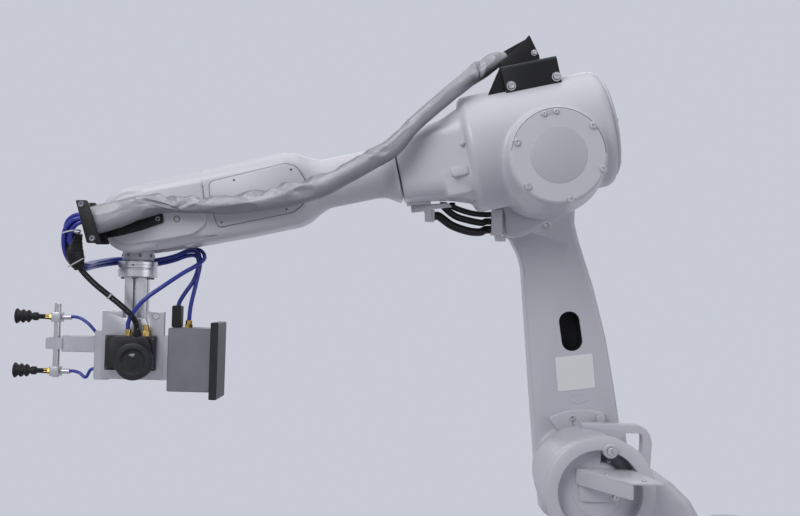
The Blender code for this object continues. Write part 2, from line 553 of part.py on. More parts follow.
# Forearm, turns on axis 4
def build_forearm():
    def section(s, half_y, half_v, radius, lift=0.0):
        return rounded_rect(along(s, 0, lift), SIDE, OVER, half_y, half_v, radius, 4)

    arm = loft("forearm_casting", [
        section(SEAM_S + SEAM_GAP, SEAM_HALF - 0.004, SEAM_HALF - 0.004, 0.030),
        section(0.2960, SEAM_HALF - 0.001, SEAM_HALF - 0.001, 0.031),
        section(0.3060, 0.0600, 0.0600, 0.040),
        section(0.3220, 0.0515, 0.0515, 0.0500),
        section(0.3400, TUBE_R, TUBE_R, TUBE_R - 0.0005),
        section(0.4360, TUBE_R, TUBE_R, TUBE_R - 0.0005),
        section(0.4560, 0.0530, 0.0555, 0.045),
        section(0.4780, 0.0600, 0.0665, 0.036),
        section(0.5000, WIDE_HALF_Y, WIDE_HALF, 0.032),
        section(0.6000, WIDE_HALF_Y, WIDE_HALF, 0.030),
        section(0.7600, WIDE_HALF_Y, 0.0685, 0.026),
        section(FOREARM_LENGTH - 0.004, WIDE_HALF_Y, WRIST_R, 0.018),
    ], PAINT)
    end = lathe("forearm_end", AXIS5, SIDE, (
        (0, -WIDE_HALF_Y), (WRIST_R - 0.006, -WIDE_HALF_Y), (WRIST_R, -WIDE_HALF_Y + 0.006),
        (WRIST_R, WIDE_HALF_Y - 0.006), (WRIST_R - 0.006, WIDE_HALF_Y), (0, WIDE_HALF_Y)), None, 40)
    fork = prism("forearm_fork", fillet(((-FORK_DEEP, -0.120), (-FORK_DEEP, 0.120), (0.120, 0.120), (0.120, -0.120)), 0.012),
                 AXIS5, ALONG, OVER, SIDE, -FORK_HALF, FORK_HALF)
    spigot = rod("forearm_spigot", along(SEAM_S + 0.010, 0, 0), along(SEAM_S + SEAM_GAP - SPIGOT_LONG, 0, 0),
                 FOREARM_SPIGOT_R, None, 40)
    join(arm, end, spigot)
    cut(arm, fork)
    for side in (1, -1):
        cut(arm, rod("tine_bore_%d" % side, AXIS5 + SIDE * side * 0.020, AXIS5 + SIDE * side * (FORK_HALF + SPIGOT_LONG),
                     TILT_PIN_R + RUN_GAP, None, 28))
    panel = fillet(((0.4706, 0.0100, 0.010), (0.4812, 0.0377, 0.010), (0.5008, 0.0470, 0.008), (0.6505, 0.0406),
                    (0.6560, 0.0000), (0.6500, -0.0480), (0.5050, -0.0480), (0.4812, -0.0360), (0.4706, -0.0100)), 0.008)
    for side, name in ((1, "forearm_cover_near"), (-1, "forearm_cover_far")):
        cover = prism(name, panel, AXIS4, ALONG, OVER, SIDE * side, WIDE_HALF_Y + FIT_GAP, WIDE_HALF_Y + 0.0032, PAINT,
                      (0.0, 0.0010), 1)
    wrist = fillet([(0.6640, 0.0460), (0.7700, 0.0480, 0.020)] + arc((FOREARM_LENGTH, 0), 0.0475, 80, -80, 12)
                   + [(0.7700, -0.0500, 0.020), (0.7000, -0.0520), (0.6700, -0.0380)], 0.010)
    for side, name in ((1, "wrist_cover_near"), (-1, "wrist_cover_far")):
        prism(name, wrist, AXIS4, ALONG, OVER, SIDE * side, WIDE_HALF_Y + FIT_GAP, 0.0684, PAINT, (0.0, 0.0015), 1)
    bar_outline = fillet(((1.1312, 0.9665), (1.1100, 0.9670), (1.0814, 0.8889), (1.1078, 0.8882)), 0.004)
    bar = plate_xz("hose_end_bar", bar_outline, 0.1399, 0.1440, BLACK)
    join(bar, plate_xz("end_bar_back", bar_outline, 0.0868, 0.0909))
    for name, x, z in (("end_bolt_up", 1.1200, 0.9590), ("end_bolt_low", 1.0975, 0.8968)):
        join(bar, rod(name, Vector((x, 0.0870, z)), Vector((x, 0.1475, z)), 0.0050, None, 12))
    strap = plate_xz("end_strap", fillet(((1.1080, 0.9080), (1.1030, 0.8950), (0.9850, 0.9350), (0.9880, 0.9520)), 0.004),
                     0.0687, 0.0725)
    join(bar, strap, rod("end_post", Vector((1.0975, 0.0714, 0.9040)), Vector((1.0975, 0.0885, 0.9040)), 0.0070, None, 12))


# Sleeved hose over the forearm
def build_hose():
    path = (HOSE_START, HOSE_START + HOSE_START_DIR * 0.012, (0.3600, 0.0195, 1.2710), (0.3988, 0.0340, 1.2414), (0.4250, 0.0600, 1.2160),
            (0.4530, 0.0850, 1.1880), (0.5105, 0.1000, 1.1330), (0.5525, 0.1080, 1.0850), (0.5930, 0.1080, 1.0590),
            (0.6374, 0.1040, 1.0330), (0.6784, 0.1000, 1.0110), (0.7233, 0.0980, 0.9967), (0.7749, 0.0955, 0.9833),
            (0.8576, 0.0935, 0.9700), (0.9319, 0.0935, 0.9674), (1.0050, 0.0960, 0.9690), (1.0561, 0.1060, 0.9500),
            (1.1012, 0.1155, 0.9330), (1.1440, 0.1155, 0.9170))
    radii = (0.0150, 0.0235, 0.0190, 0.0165, 0.0160, 0.0145, 0.0180, 0.0182, 0.0180, 0.0205, 0.0205, 0.0185, 0.0165,
             0.0148, 0.0130, 0.0175, 0.0235, 0.0240)
    tube("hose_sleeve", path, radii, SLEEVE, 40, 10)


# Tilt housing, turns on axis 5
def build_wrist():
    tilt = lathe("tilt_housing", AXIS5, SIDE, (
        (0, -TILT_HALF), (TILT_R - 0.005, -TILT_HALF), (TILT_R, 0.005 - TILT_HALF), (TILT_R, TILT_HALF - 0.005),
        (TILT_R - 0.005, TILT_HALF), (0, TILT_HALF)), PAINT, 36)
    neck = lathe("tilt_neck", Vector((TOOL_X, 0, NECK_Z)), UP, (
        (0, 0), (NECK_R, 0), (NECK_R, 0.018), (NECK_R - 0.003, 0.026), (NECK_R - 0.003, 0.070), (0, 0.070)), None, 32)
    join(tilt, neck)
    for side in (1, -1):
        join(tilt, rod("tilt_pin_%d" % side, AXIS5, AXIS5 + SIDE * side * (FORK_HALF + SPIGOT_LONG - JOINT_GAP),
                       TILT_PIN_R, None, 28))
    cut(tilt, rod("neck_bore", Vector((TOOL_X, 0, 0.840)), Vector((TOOL_X, 0, NECK_Z + SPIGOT_LONG)),
                  FLANGE_SPIGOT_R + RUN_GAP, None, 28))
    band_x = TOOL_X + BAND_AHEAD
    arm_y = -math.sqrt((NECK_R + FIT_GAP) ** 2 - (BAND_AHEAD - 0.0040) ** 2)
    band = box("tube_band", (band_x - 0.007, -0.0740, NECK_Z - 0.0045), (band_x + 0.007, -0.0440, NECK_Z + 0.0075),
               0.0025, RUBBER, 0.001)
    join(band, box("tube_band_arm", (band_x - 0.004, -0.0460, NECK_Z + 0.0015), (band_x + 0.004, arm_y, NECK_Z + 0.0070),
                   0.0010))


# Tool, turns on axis 6
def build_tool():
    lathe("tool_flange", Vector((TOOL_X, 0, FLANGE_TOP_Z)), -UP, (
        (0, -SPIGOT_LONG), (FLANGE_SPIGOT_R, -SPIGOT_LONG), (FLANGE_SPIGOT_R, 0), (FLANGE_R, 0), (FLANGE_R, 0.0120), (FLANGE_R - 0.0025, 0.0135), (FLANGE_R - 0.0025, 0.0150),
        (0, 0.0150)), ALU, 32)
    lathe("tool_adapter", Vector((TOOL_X, 0, 0.8447)), -UP, (
        (0, 0), (FLANGE_R, 0), (FLANGE_R, 0.0140), (FLANGE_R - 0.0015, 0.0155), (0, 0.0155)), ALU, 32)
    x = TOOL_X
    post = box("tool_post", (x - POST_HALF, -POST_HALF, 0.6400), (x + POST_HALF, POST_HALF, 0.8289), 0.0015, ALU)
    for side, a in (("front", SIDE), ("back", -SIDE), ("left", FWD), ("right", -FWD)):
        b = a.cross(UP)
        groove = block("post_groove_" + side, Vector((x, 0, 0.735)) + a * POST_HALF, a, b, UP, (0.0055, 0.0040, 0.120), 0.0005)
        cut(post, groove)
    plate = fillet(((0.9870, 0.6312), (0.9870, 0.7634), (1.0240, 0.7634), (1.0240, 0.7500), (1.0680, 0.7500),
                    (1.0680, 0.7634), (1.1076, 0.7634), (1.1076, 0.6312)), 0.002)
    plate_xz("tool_plate", plate, 0.0203, 0.0283, ANOD, (0.0005, 0.0005), 1)
    box("tool_block", (1.0930, -0.0350, 0.6285), (1.1239, 0.0198, 0.7237), 0.003, ANOD, 0.001)
    device = box("camera_device", (0.9996, 0.0286, 0.6500), (1.0961, 0.0600, 0.7166), 0.005, DARK, 0.002)
    join(device, lathe("device_ring", Vector((1.0525, 0.0590, 0.6680)), SIDE, (
        (0, -0.004), (0.0360, -0.004), (0.0360, 0.012), (0.0330, 0.015), (0.0240, 0.015), (0.0200, 0.010), (0, 0.010)),
        None, 32))
    bar = box("cup_bar", (1.1242, -0.0130, 0.6806), (1.1900, 0.0130, 0.7118), 0.002, ANOD, 0.001)
    post2 = rod("cup_rod", Vector((1.2035, 0, 0.6296)), Vector((1.2035, 0, 0.7745)), 0.0066, STEEL, 16)
    grip = box("rod_clamp", (1.1880, -0.0160, 0.6850), (1.2200, 0.0160, 0.7074), 0.003)
    join(bar, grip)
    cut(bar, rod("rod_seat", Vector((1.2035, 0, 0.60)), Vector((1.2035, 0, 0.80)), 0.0066 + FIT_GAP, None, 20))
    for name, z in (("cup_upper", 0.7475), ("cup_lower", 0.6415)):
        cup = lathe(name, Vector((1.2120, 0, z)), FWD, (
            (0, 0), (0.0050, 0), (0.0050, 0.028), (0.0080, 0.031), (0.0080, 0.038), (0.0055, 0.042), (0.0125, 0.048),
            (0.0080, 0.053), (0.0135, 0.059), (0.0090, 0.064), (0.0150, 0.071), (0.0140, 0.072), (0, 0.068)), RUBBER, 14)
        holder = box(name + "_clamp", (1.1943, -0.0130, z - 0.0095), (1.2128, 0.0130, z + 0.0095), 0.003)
        stem = rod(name + "_stem", Vector((1.1690, 0, z)), Vector((1.1950, 0, z)), 0.0060, None, 16)
        join(cup, holder, stem)
        cut(cup, rod(name + "_seat", Vector((1.2035, 0, z - 0.03)), Vector((1.2035, 0, z + 0.03)), 0.0066 + FIT_GAP, None, 20))
    box("side_bar", (0.9783, -0.0340, 0.6315), (0.9867, 0.0300, 0.7173), 0.001, ALU)
    gripper = box("gripper_box", (0.8950, -0.0380, 0.6103), (0.9780, 0.0340, 0.7332), 0.003, ANOD, 0.0015)
    box("gripper_plate", (0.8796, -0.0480, 0.5970), (0.8947, 0.0440, 0.7454), 0.002, DARK, 0.001)
    box("tool_connector", (0.9590, -0.0120, 0.7335), (0.9770, 0.0120, 0.7760), 0.003, RUBBER, 0.001)


# Air tubes: from the hose to the joint block, and on to the tool
def build_tubes():
    path = ((1.1535, 0.1155, 0.9180), (1.1680, 0.1080, 0.9000), (1.1660, 0.0880, 0.8720), (1.1400, 0.0300, 0.8600),
            (1.1180, -0.0420, 0.8600), (1.1000, -0.0585, 0.8632), (1.0781, -0.0590, 0.8635))
    for i, name in enumerate(("air_tube_a", "air_tube_b", "air_tube_c")):
        tube(name, path, TUBE_SMALL_R, BLUE, 26, 7, (90 + 120 * i, 1.24 * TUBE_SMALL_R), faces=(None, -FWD))
    tube("air_tube_d", ((1.0629, -0.0520, 0.8635), (1.0300, -0.0530, 0.8640), (0.9900, -0.0540, 0.8720),
                        (0.9560, -0.0500, 0.8820), (0.9300, -0.0320, 0.8780), (0.9200, -0.0120, 0.8520),
                        (0.9260, -0.0040, 0.8200), (0.9360, -0.0020, 0.7780), (0.9400, -0.0020, 0.7345)),
         TUBE_SMALL_R, BLUE, 28, 7, faces=(-FWD, None))
    tube("air_tube_e", ((1.0629, -0.0660, 0.8635), (1.0300, -0.0680, 0.8630), (0.9900, -0.0680, 0.8620),
                        (0.9500, -0.0560, 0.8560), (0.9380, -0.0260, 0.8360), (0.9480, 0.0200, 0.8080),
                        (0.9660, 0.0440, 0.7860), (1.0060, 0.0520, 0.7640), (1.0400, 0.0480, 0.7440),
                        (1.0500, 0.0450, 0.7186)), TUBE_SMALL_R, BLUE, 30, 7, faces=(-FWD, None))


build_base()
build_turret()
build_lower_arm()
build_housing()
build_harness()
build_forearm()
build_hose()
build_wrist()
build_tool()
build_tubes()
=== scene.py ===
import json
import math
import random

import bmesh
import bpy
from mathutils import Matrix, Vector, noise

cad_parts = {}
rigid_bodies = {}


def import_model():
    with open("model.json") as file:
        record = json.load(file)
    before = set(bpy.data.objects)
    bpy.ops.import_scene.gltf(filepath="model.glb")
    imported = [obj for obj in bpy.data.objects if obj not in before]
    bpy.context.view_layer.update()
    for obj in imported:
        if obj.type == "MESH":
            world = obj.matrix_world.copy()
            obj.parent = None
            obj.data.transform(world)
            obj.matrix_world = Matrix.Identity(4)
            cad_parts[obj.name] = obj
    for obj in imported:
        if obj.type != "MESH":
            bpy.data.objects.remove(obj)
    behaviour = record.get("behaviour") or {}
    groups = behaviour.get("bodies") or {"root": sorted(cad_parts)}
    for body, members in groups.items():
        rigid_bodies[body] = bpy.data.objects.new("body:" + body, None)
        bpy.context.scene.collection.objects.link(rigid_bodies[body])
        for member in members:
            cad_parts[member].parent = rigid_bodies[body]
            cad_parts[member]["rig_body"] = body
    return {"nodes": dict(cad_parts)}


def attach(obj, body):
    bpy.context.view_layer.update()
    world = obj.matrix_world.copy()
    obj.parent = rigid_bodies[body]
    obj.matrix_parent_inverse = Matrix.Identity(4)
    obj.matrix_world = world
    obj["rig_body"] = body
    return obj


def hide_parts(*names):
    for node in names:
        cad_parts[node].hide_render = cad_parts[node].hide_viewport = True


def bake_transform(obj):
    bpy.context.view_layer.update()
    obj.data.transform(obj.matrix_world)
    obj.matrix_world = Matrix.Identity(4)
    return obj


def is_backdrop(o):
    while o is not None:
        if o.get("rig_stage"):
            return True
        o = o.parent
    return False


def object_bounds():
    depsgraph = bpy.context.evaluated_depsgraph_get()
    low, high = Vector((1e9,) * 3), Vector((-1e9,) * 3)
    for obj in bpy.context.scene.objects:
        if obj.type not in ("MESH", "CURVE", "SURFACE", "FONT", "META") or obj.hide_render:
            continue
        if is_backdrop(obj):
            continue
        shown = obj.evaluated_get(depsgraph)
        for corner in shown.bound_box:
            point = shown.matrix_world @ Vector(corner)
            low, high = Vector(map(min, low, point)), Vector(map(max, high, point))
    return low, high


# Robot arm with its hose and tool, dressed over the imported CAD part. Metres, z up.

for stray in list(bpy.data.objects):
    bpy.data.objects.remove(stray, do_unlink=True)
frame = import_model()
cadLow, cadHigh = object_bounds()
scene = bpy.context.scene
scene.view_settings.view_transform = "Standard"
print("frame loaded:", len(frame["nodes"]), "nodes")

side = Vector((0, 1, 0))
up = Vector((0, 0, 1))
ahead = Vector((1, 0, 0))
home = Vector((0, 0, 0))
arm = {"lean": 9.0, "dip": 13.0, "shoulder": (0.150, 0, 0.450), "length": 0.630, "rise": 0.050,
       "reach": 0.810}
leanAngle, dipAngle = math.radians(arm["lean"]), math.radians(arm["dip"])
lean = Vector((math.sin(leanAngle), 0, math.cos(leanAngle)))
across = Vector((math.cos(leanAngle), 0, -math.sin(leanAngle)))
along = Vector((math.cos(dipAngle), 0, -math.sin(dipAngle)))
over = Vector((math.sin(dipAngle), 0, math.cos(dipAngle)))
shoulder = Vector(arm["shoulder"])
elbow = shoulder + lean * arm["length"]
roll = elbow + over * arm["rise"]
tilt = roll + along * arm["reach"]


onArm = (roll, along, over, side)
level = (home, ahead, side, up)


def spot(s, y, v):  # a place by the forearm's own axis
    return roll + along * s + side * y + over * v


# Camera, where the photograph was taken from
cameraSettings = {"at": (0.534, 2.0, 0.811), "pitch": 2.0, "roll": 1.5, "lens": 45.7}


def makeCamera():
    data = bpy.data.cameras.new("camera")
    data.lens = cameraSettings["lens"]
    data.sensor_width = 36
    data.clip_end = 60
    camera = bpy.data.objects.new("camera", data)
    scene.collection.objects.link(camera)
    pitch = math.radians(90 + cameraSettings["pitch"])
    camera.matrix_world = (Matrix.Translation(cameraSettings["at"]) @ Matrix.Rotation(math.pi, 4, "Z")
                           @ Matrix.Rotation(pitch, 4, "X")
                           @ Matrix.Rotation(math.radians(cameraSettings["roll"]), 4, "Z"))
    scene.camera = camera


makeCamera()


# Shader maths: a wire is one socket, and an expression on wires adds its Math nodes
class Wire:
    def __init__(self, graph, socket):
        self.graph = graph
        self.socket = socket

    def math(self, operation, first, second=0.0, clamp=False):
        return self.graph.node("Math", {"operation": operation, "use_clamp": clamp}, {0: first, 1: second})

    def __add__(self, other):
        return self.math("ADD", self, other)

    def __mul__(self, other):
        return self.math("MULTIPLY", self, other)

    __radd__ = __add__
    __rmul__ = __mul__

    def __sub__(self, other):
        return self.math("SUBTRACT", self, other)

    def __rsub__(self, other):
        return self.math("SUBTRACT", other, self)

    def __truediv__(self, other):
        return self.math("DIVIDE", self, other)

    def __rtruediv__(self, other):
        return self.math("DIVIDE", other, self)

    def __pow__(self, other):
        return self.math("POWER", self, other)

    def above(self, edge, soft=0.05):  # 0 under the edge, 1 over it
        return self.math("ADD", (self - edge) * (0.5 / soft), 0.5, True)


class Graph:
    def __init__(self, name, colour, rough, metal=0.0, **fixed):
        self.material = bpy.data.materials.new(name)
        self.material.use_nodes = True
        self.tree = self.material.node_tree
        self.shader = self.tree.nodes["Principled BSDF"]
        self.put("Base Color", (*colour, 1.0))
        self.put("Roughness", rough)
        self.put("Metallic", metal)
        for socket, value in fixed.items():
            self.put(socket.replace("_", " "), value)
        self.coords = self.node("TexCoord", out="Object")

    def put(self, socket, value):
        target = self.shader.inputs[socket]
        if isinstance(value, Wire):
            self.tree.links.new(value.socket, target)
        else:
            target.default_value = value

    def node(self, kind, settings=None, values=None, out=0):
        made = self.tree.nodes.new("ShaderNode" + kind)
        for name, value in (settings or {}).items():
            setattr(made, name, value)
        for name, value in (values or {}).items():
            if isinstance(value, Wire):
                self.tree.links.new(value.socket, made.inputs[name])
            else:
                made.inputs[name].default_value = value
        return Wire(self, made.outputs[out])

    def grain(self, scale, detail=3.0, rough=0.55, at=None):
        return self.node("TexNoise", None, {"Vector": at or self.coords, "Scale": scale, "Detail": detail,
                                            "Roughness": rough})

    def stretched(self, scale):
        return self.node("Mapping", None, {"Vector": self.coords, "Scale": scale})

    def blend(self, share, first, second):
        tones = [v if isinstance(v, Wire) else (*v, 1.0) for v in (first, second)]
        return self.node("Mix", {"data_type": "RGBA"}, {0: share, 6: tones[0], 7: tones[1]}, 2)

    def bump(self, height, strength, distance=0.001):
        self.put("Normal",
                 self.node("Bump", None, {"Height": height, "Strength": strength, "Distance": distance}))


def shade(tone, share):
    return tuple(c * share for c in tone)


def paintFinish(name, tone=(0.585, 0.585, 0.640), cast=0.30, rough=0.36):
    g = Graph(name, tone, rough, Coat_Weight=0.12, Coat_Roughness=0.25)
    cloud, fleck, skin, dust = g.grain(3.5, 4), g.grain(900, 2), g.grain(420, 3), g.grain(38, 5, 0.65)
    tint = g.blend(cloud.above(0.52, 0.25), shade(tone, 0.94), tone)
    g.put("Base Color", g.blend(dust.above(0.66, 0.06) * 0.20, tint, shade(tone, 0.86)))
    g.put("Roughness", rough + (cloud - 0.5) * 0.10 + (fleck - 0.5) * 0.08)
    g.bump(skin * 0.6 + fleck * 0.4, cast, 0.0006)
    return g.material


def blackFinish(name):
    tone = (0.011, 0.011, 0.013)
    g = Graph(name, tone, 0.42, Specular_IOR_Level=0.22)
    speck, wear = g.grain(1500, 2), g.grain(60, 5, 0.7)
    g.put("Base Color", g.blend(wear.above(0.68, 0.04) * 0.5, tone, (0.055, 0.055, 0.06)))
    g.put("Roughness", 0.40 + (speck - 0.5) * 0.22 + wear.above(0.62, 0.08) * 0.12)
    g.bump(speck, 0.25, 0.0004)
    return g.material


def metalFinish(name, tone, rough, scale=(1, 1, 60), streak=900, depth=0.08, metal=1.0):
    g = Graph(name, tone, rough, metal)
    lines, stain = g.grain(streak, 3, 0.6, g.stretched(scale)), g.grain(26, 4)
    g.put("Base Color", g.blend(stain.above(0.55, 0.2), shade(tone, 0.86), tone))
    g.put("Roughness", rough + (lines - 0.5) * 0.20 + (stain - 0.5) * 0.12)
    g.bump(lines, depth, 0.0003)
    return g.material


def mouldedFinish(name, tone, rough=0.5, fine=800, coat=0.0, shine=0.25):
    g = Graph(name, tone, rough, Coat_Weight=coat, Coat_Roughness=0.12, Specular_IOR_Level=shine)
    grit, bloom = g.grain(fine, 3), g.grain(45, 4)
    g.put("Base Color", g.blend(bloom.above(0.58, 0.14) * 0.5, tone, tuple(c * 1.4 + 0.003 for c in tone)))
    g.put("Roughness", rough + (grit - 0.5) * 0.22 + (bloom - 0.5) * 0.10)
    g.bump(grit, 0.16, 0.0004)
    return g.material


def fabricFinish(name):
    tone = (0.31, 0.31, 0.335)
    g = Graph(name, tone, 0.34, 0.62)
    uv = g.node("UVMap", {"uv_map": "weave"})
    warp = g.node("TexWave", {"bands_direction": "X"}, {"Vector": uv, "Scale": 1.0, "Distortion": 0.5}, 1)
    weft = g.node("TexWave", {"bands_direction": "Y"}, {"Vector": uv, "Scale": 1.0, "Distortion": 0.5}, 1)
    soil, crease = g.grain(30, 5, 0.6), g.grain(85, 4, 0.6)
    weave = warp * 0.5 + weft * 0.5
    tint = g.blend(soil.above(0.52, 0.2), shade(tone, 0.86), tone)
    g.put("Base Color", g.blend(weave * 0.16, tint, shade(tone, 0.62)))
    g.put("Roughness", 0.31 + (soil - 0.5) * 0.16 + weave * 0.07)
    g.bump(weave * 0.30 + crease * 0.9, 0.35, 0.0011)
    return g.material


materials = {
    "paint": paintFinish("armPaint"),
    "cover": paintFinish("coverPaint", (0.600, 0.600, 0.655), 0.15, 0.33),
    "disc": paintFinish("discPaint", (0.50, 0.50, 0.55), 0.15, 0.42),
    "panel": paintFinish("panelPaint", (0.52, 0.52, 0.57), 0.12, 0.34),
    "label": paintFinish("labelWhite", (0.84, 0.84, 0.85), 0.05, 0.45),
    "black": blackFinish("blackCoat"),
    "steel": metalFinish("brightSteel", (0.60, 0.60, 0.61), 0.26),
    "dark": metalFinish("darkSteel", (0.16, 0.16, 0.17), 0.40),
    "zinc": metalFinish("zincPlate", (0.60, 0.60, 0.63), 0.38, (40, 1, 1), 500, 0.06, 0.55),
    "aluminium": metalFinish("turnedAluminium", (0.62, 0.62, 0.64), 0.30, (1, 1, 120), 700, 0.10),
    "anodised": metalFinish("anodisedGrey", (0.22, 0.22, 0.245), 0.42, (1, 1, 1), 1100, 0.12, 0.5),
    "plate": metalFinish("milledPlate", (0.52, 0.52, 0.56), 0.36, (1, 1, 30), 400, 0.08, 0.6),
    "brass": metalFinish("brassFitting", (0.50, 0.34, 0.11), 0.28),
    "charcoal": mouldedFinish("charcoalCase", (0.022, 0.022, 0.026), 0.42, 1200),
    "rubber": mouldedFinish("blackRubber", (0.014, 0.014, 0.015), 0.55),
    "cable": mouldedFinish("cableJacket", (0.011, 0.011, 0.013), 0.36, 900),
    "blue": mouldedFinish("blueTube", (0.030, 0.040, 0.30), 0.24, 900, 0.3),
    "glass": mouldedFinish("lensGlass", (0.006, 0.006, 0.010), 0.08, 900, 0.5),
    "tie": mouldedFinish("whiteTie", (0.50, 0.50, 0.52), 0.45),
    "fabric": fabricFinish("sleeveFabric"),
}
print("materials made:", len(materials))


# Shapes
def softened(bm, edges, width, steps):
    bmesh.ops.bevel(bm, geom=edges, affect="EDGES", offset=width, segments=steps, profile=0.5, material=-1,
                    clamp_overlap=True)


def drawn(bm, points, place, corner=0.0, soft=4):  # one flat face, with rounded corners
    before = set(bm.faces)
    verts = [bm.verts.new(place(p)) for p in points]
    edges = [bm.edges.new(pair) for pair in zip(verts, verts[1:] + verts[:1])]
    bmesh.ops.contextual_create(bm, geom=edges)
    for vert, p in zip(verts, points):
        radius = p[2] if len(p) > 2 else corner
        if radius:
            bmesh.ops.bevel(bm, geom=[vert], affect="VERTICES", offset=radius, segments=soft, profile=0.5,
                            material=-1, clamp_overlap=True)
    return [f for f in bm.faces if f not in before]


def slab(points, low, high, origin=home, x=ahead, y=up, z=side, corner=0.0, edge=0.0, steps=3, soft=4):
    bm = bmesh.new()
    drawn(bm, points, lambda p: origin + x * p[0] + y * p[1] + z * low, corner, soft)
    made = bmesh.ops.extrude_face_region(bm, geom=bm.faces[:])
    lifted = [g for g in made["geom"] if isinstance(g, bmesh.types.BMVert)]
    bmesh.ops.translate(bm, verts=lifted, vec=z * (high - low))
    bmesh.ops.recalc_face_normals(bm, faces=bm.faces)
    if edge:
        rims = [e for e in bm.edges if abs((e.verts[1].co - e.verts[0].co).normalized().dot(z)) < 0.5]
        softened(bm, rims, edge, steps)
    return bm


def arcOf(centre, radius, start, end, steps):
    angles = [math.radians(start + (end - start) * k / steps) for k in range(steps + 1)]
    return [(centre[0] + radius * math.cos(a), centre[1] + radius * math.sin(a)) for a in angles]


def brick(low, high, corner=0.0, edge=0.001, origin=home, x=ahead, y=up, z=side, steps=2, soft=4):
    points = ((low[0], low[1]), (high[0], low[1]), (high[0], high[1]), (low[0], high[1]))
    return slab(points, low[2], high[2], origin, x, y, z, corner, edge, steps, soft)


def turned(profile, origin=home, axis=up, steps=64, hexed=0.0):  # radius, height
    bm = bmesh.new()
    outward = axis.orthogonal().normalized()
    other = axis.cross(outward)
    verts = [bm.verts.new(origin + outward * r + axis * h) for r, h in profile]
    edges = [bm.edges.new(pair) for pair in zip(verts, verts[1:])]
    bmesh.ops.spin(bm, geom=verts + edges, cent=origin, axis=axis, angle=2 * math.pi, steps=steps,
                   use_merge=True)
    bmesh.ops.remove_doubles(bm, verts=bm.verts, dist=1e-6)
    for v in bm.verts if hexed else ():  # a socket turned round becomes six-sided
        high = axis * (v.co - origin).dot(axis)
        flat = v.co - origin - high
        if 1e-6 < flat.length < hexed:
            angle = math.atan2(flat.dot(other), flat.dot(outward)) % (math.pi / 3) - math.pi / 6
            v.co = origin + high + flat * (math.cos(math.pi / 6) / math.cos(angle))
    bmesh.ops.recalc_face_normals(bm, faces=bm.faces)
    return bm


def around(middle, a, b, radius, start, count):  # places round a circle, each with its way out
    turns = [math.radians(start + 360 * k / count) for k in range(count)]
    ways = [a * math.cos(t) + b * math.sin(t) for t in turns]
    return [(middle + way * radius, way) for way in ways]


def hoop(inner, outer, low, high, origin, axis, steps):
    return turned([(inner, low), (outer, low), (outer, high), (inner, high), (inner, low)], origin, axis,
                  steps)


def rod(start, end, radius, steps=32, edge=0.0):
    start, end = Vector(start), Vector(end)
    deep = (end - start).length
    profile = [(0, 0), (radius, 0), (radius, deep), (0, deep)]
    if edge:
        profile = [(0, 0), (radius - edge, 0), (radius, edge), (radius, deep - edge), (radius - edge, deep),
                   (0, deep)]
    return turned(profile, start, (end - start).normalized(), steps)


def skinned(sections, a, b, soft=6, ring=False):  # centre, half width, half height, corner radii
    bm = bmesh.new()
    faces = []
    for centre, halfA, halfB, radii in sections:
        radii = radii if isinstance(radii, tuple) else (radii,) * 4
        signs = ((1, 1), (-1, 1), (-1, -1), (1, -1))
        points = [(halfA * i, halfB * j, r) for (i, j), r in zip(signs, radii)]
        faces += drawn(bm, points, lambda p: centre + a * p[0] + b * p[1], 0.0, soft)
    rims = [list(face.edges) for face in faces]
    bmesh.ops.delete(bm, geom=faces if ring else faces[1:-1], context="FACES_ONLY")
    for low, high in zip(rims, rims[1:] + ([rims[0]] if ring else [])):
        bmesh.ops.bridge_loops(bm, edges=low + high)
    bmesh.ops.recalc_face_normals(bm, faces=bm.faces)
    return bm


def gathered(*shapes):
    whole = bmesh.new()
    for shape in shapes:
        mesh = bpy.data.meshes.new("shape")
        shape.to_mesh(mesh)
        shape.free()
        whole.from_mesh(mesh)
        bpy.data.meshes.remove(mesh)
    return whole


def solidOf(bm):
    mesh = bpy.data.meshes.new("work")
    bm.to_mesh(mesh)
    bm.free()
    obj = bpy.data.objects.new("work", mesh)
    scene.collection.objects.link(obj)
    return obj


def settled(obj):
    bpy.context.view_layer.update()
    mesh = bpy.data.meshes.new_from_object(obj.evaluated_get(bpy.context.evaluated_depsgraph_get()))
    obj.modifiers.clear()
    old, obj.data = obj.data, mesh
    bpy.data.meshes.remove(old)


def meshOf(obj):
    bm = bmesh.new()
    bm.from_mesh(obj.data)
    data = obj.data
    bpy.data.objects.remove(obj, do_unlink=True)
    bpy.data.meshes.remove(data)
    return bm


def carved(bm, knives, joined=False):
    obj = solidOf(bm)
    for knife in knives:
        tool = solidOf(knife)
        step = obj.modifiers.new("cut", "BOOLEAN")
        step.operation = "UNION" if joined else "DIFFERENCE"
        step.solver = "EXACT"
        step.object = tool
        settled(obj)
        meshOf(tool).free()
    return meshOf(obj)


def voxelled(bm, grain, rounds):
    obj = solidOf(bm)
    step = obj.modifiers.new("fuse", "REMESH")
    step.mode = "VOXEL"
    step.voxel_size = grain * 1.0
    settled(obj)
    bm = meshOf(obj)
    for _ in range(rounds):
        bmesh.ops.smooth_vert(bm, verts=bm.verts, factor=0.5, use_axis_x=True, use_axis_y=True,
                              use_axis_z=True)
    return bm


def cast(shapes, hollows=(), grooves=(), grain=0.003, rounds=5):  # shapes grown together with cast fillets
    bm = voxelled(gathered(*shapes), grain, 0 if hollows else rounds)
    if hollows:
        bm = voxelled(carved(bm, hollows), grain, rounds)
    return carved(bm, grooves) if grooves else bm


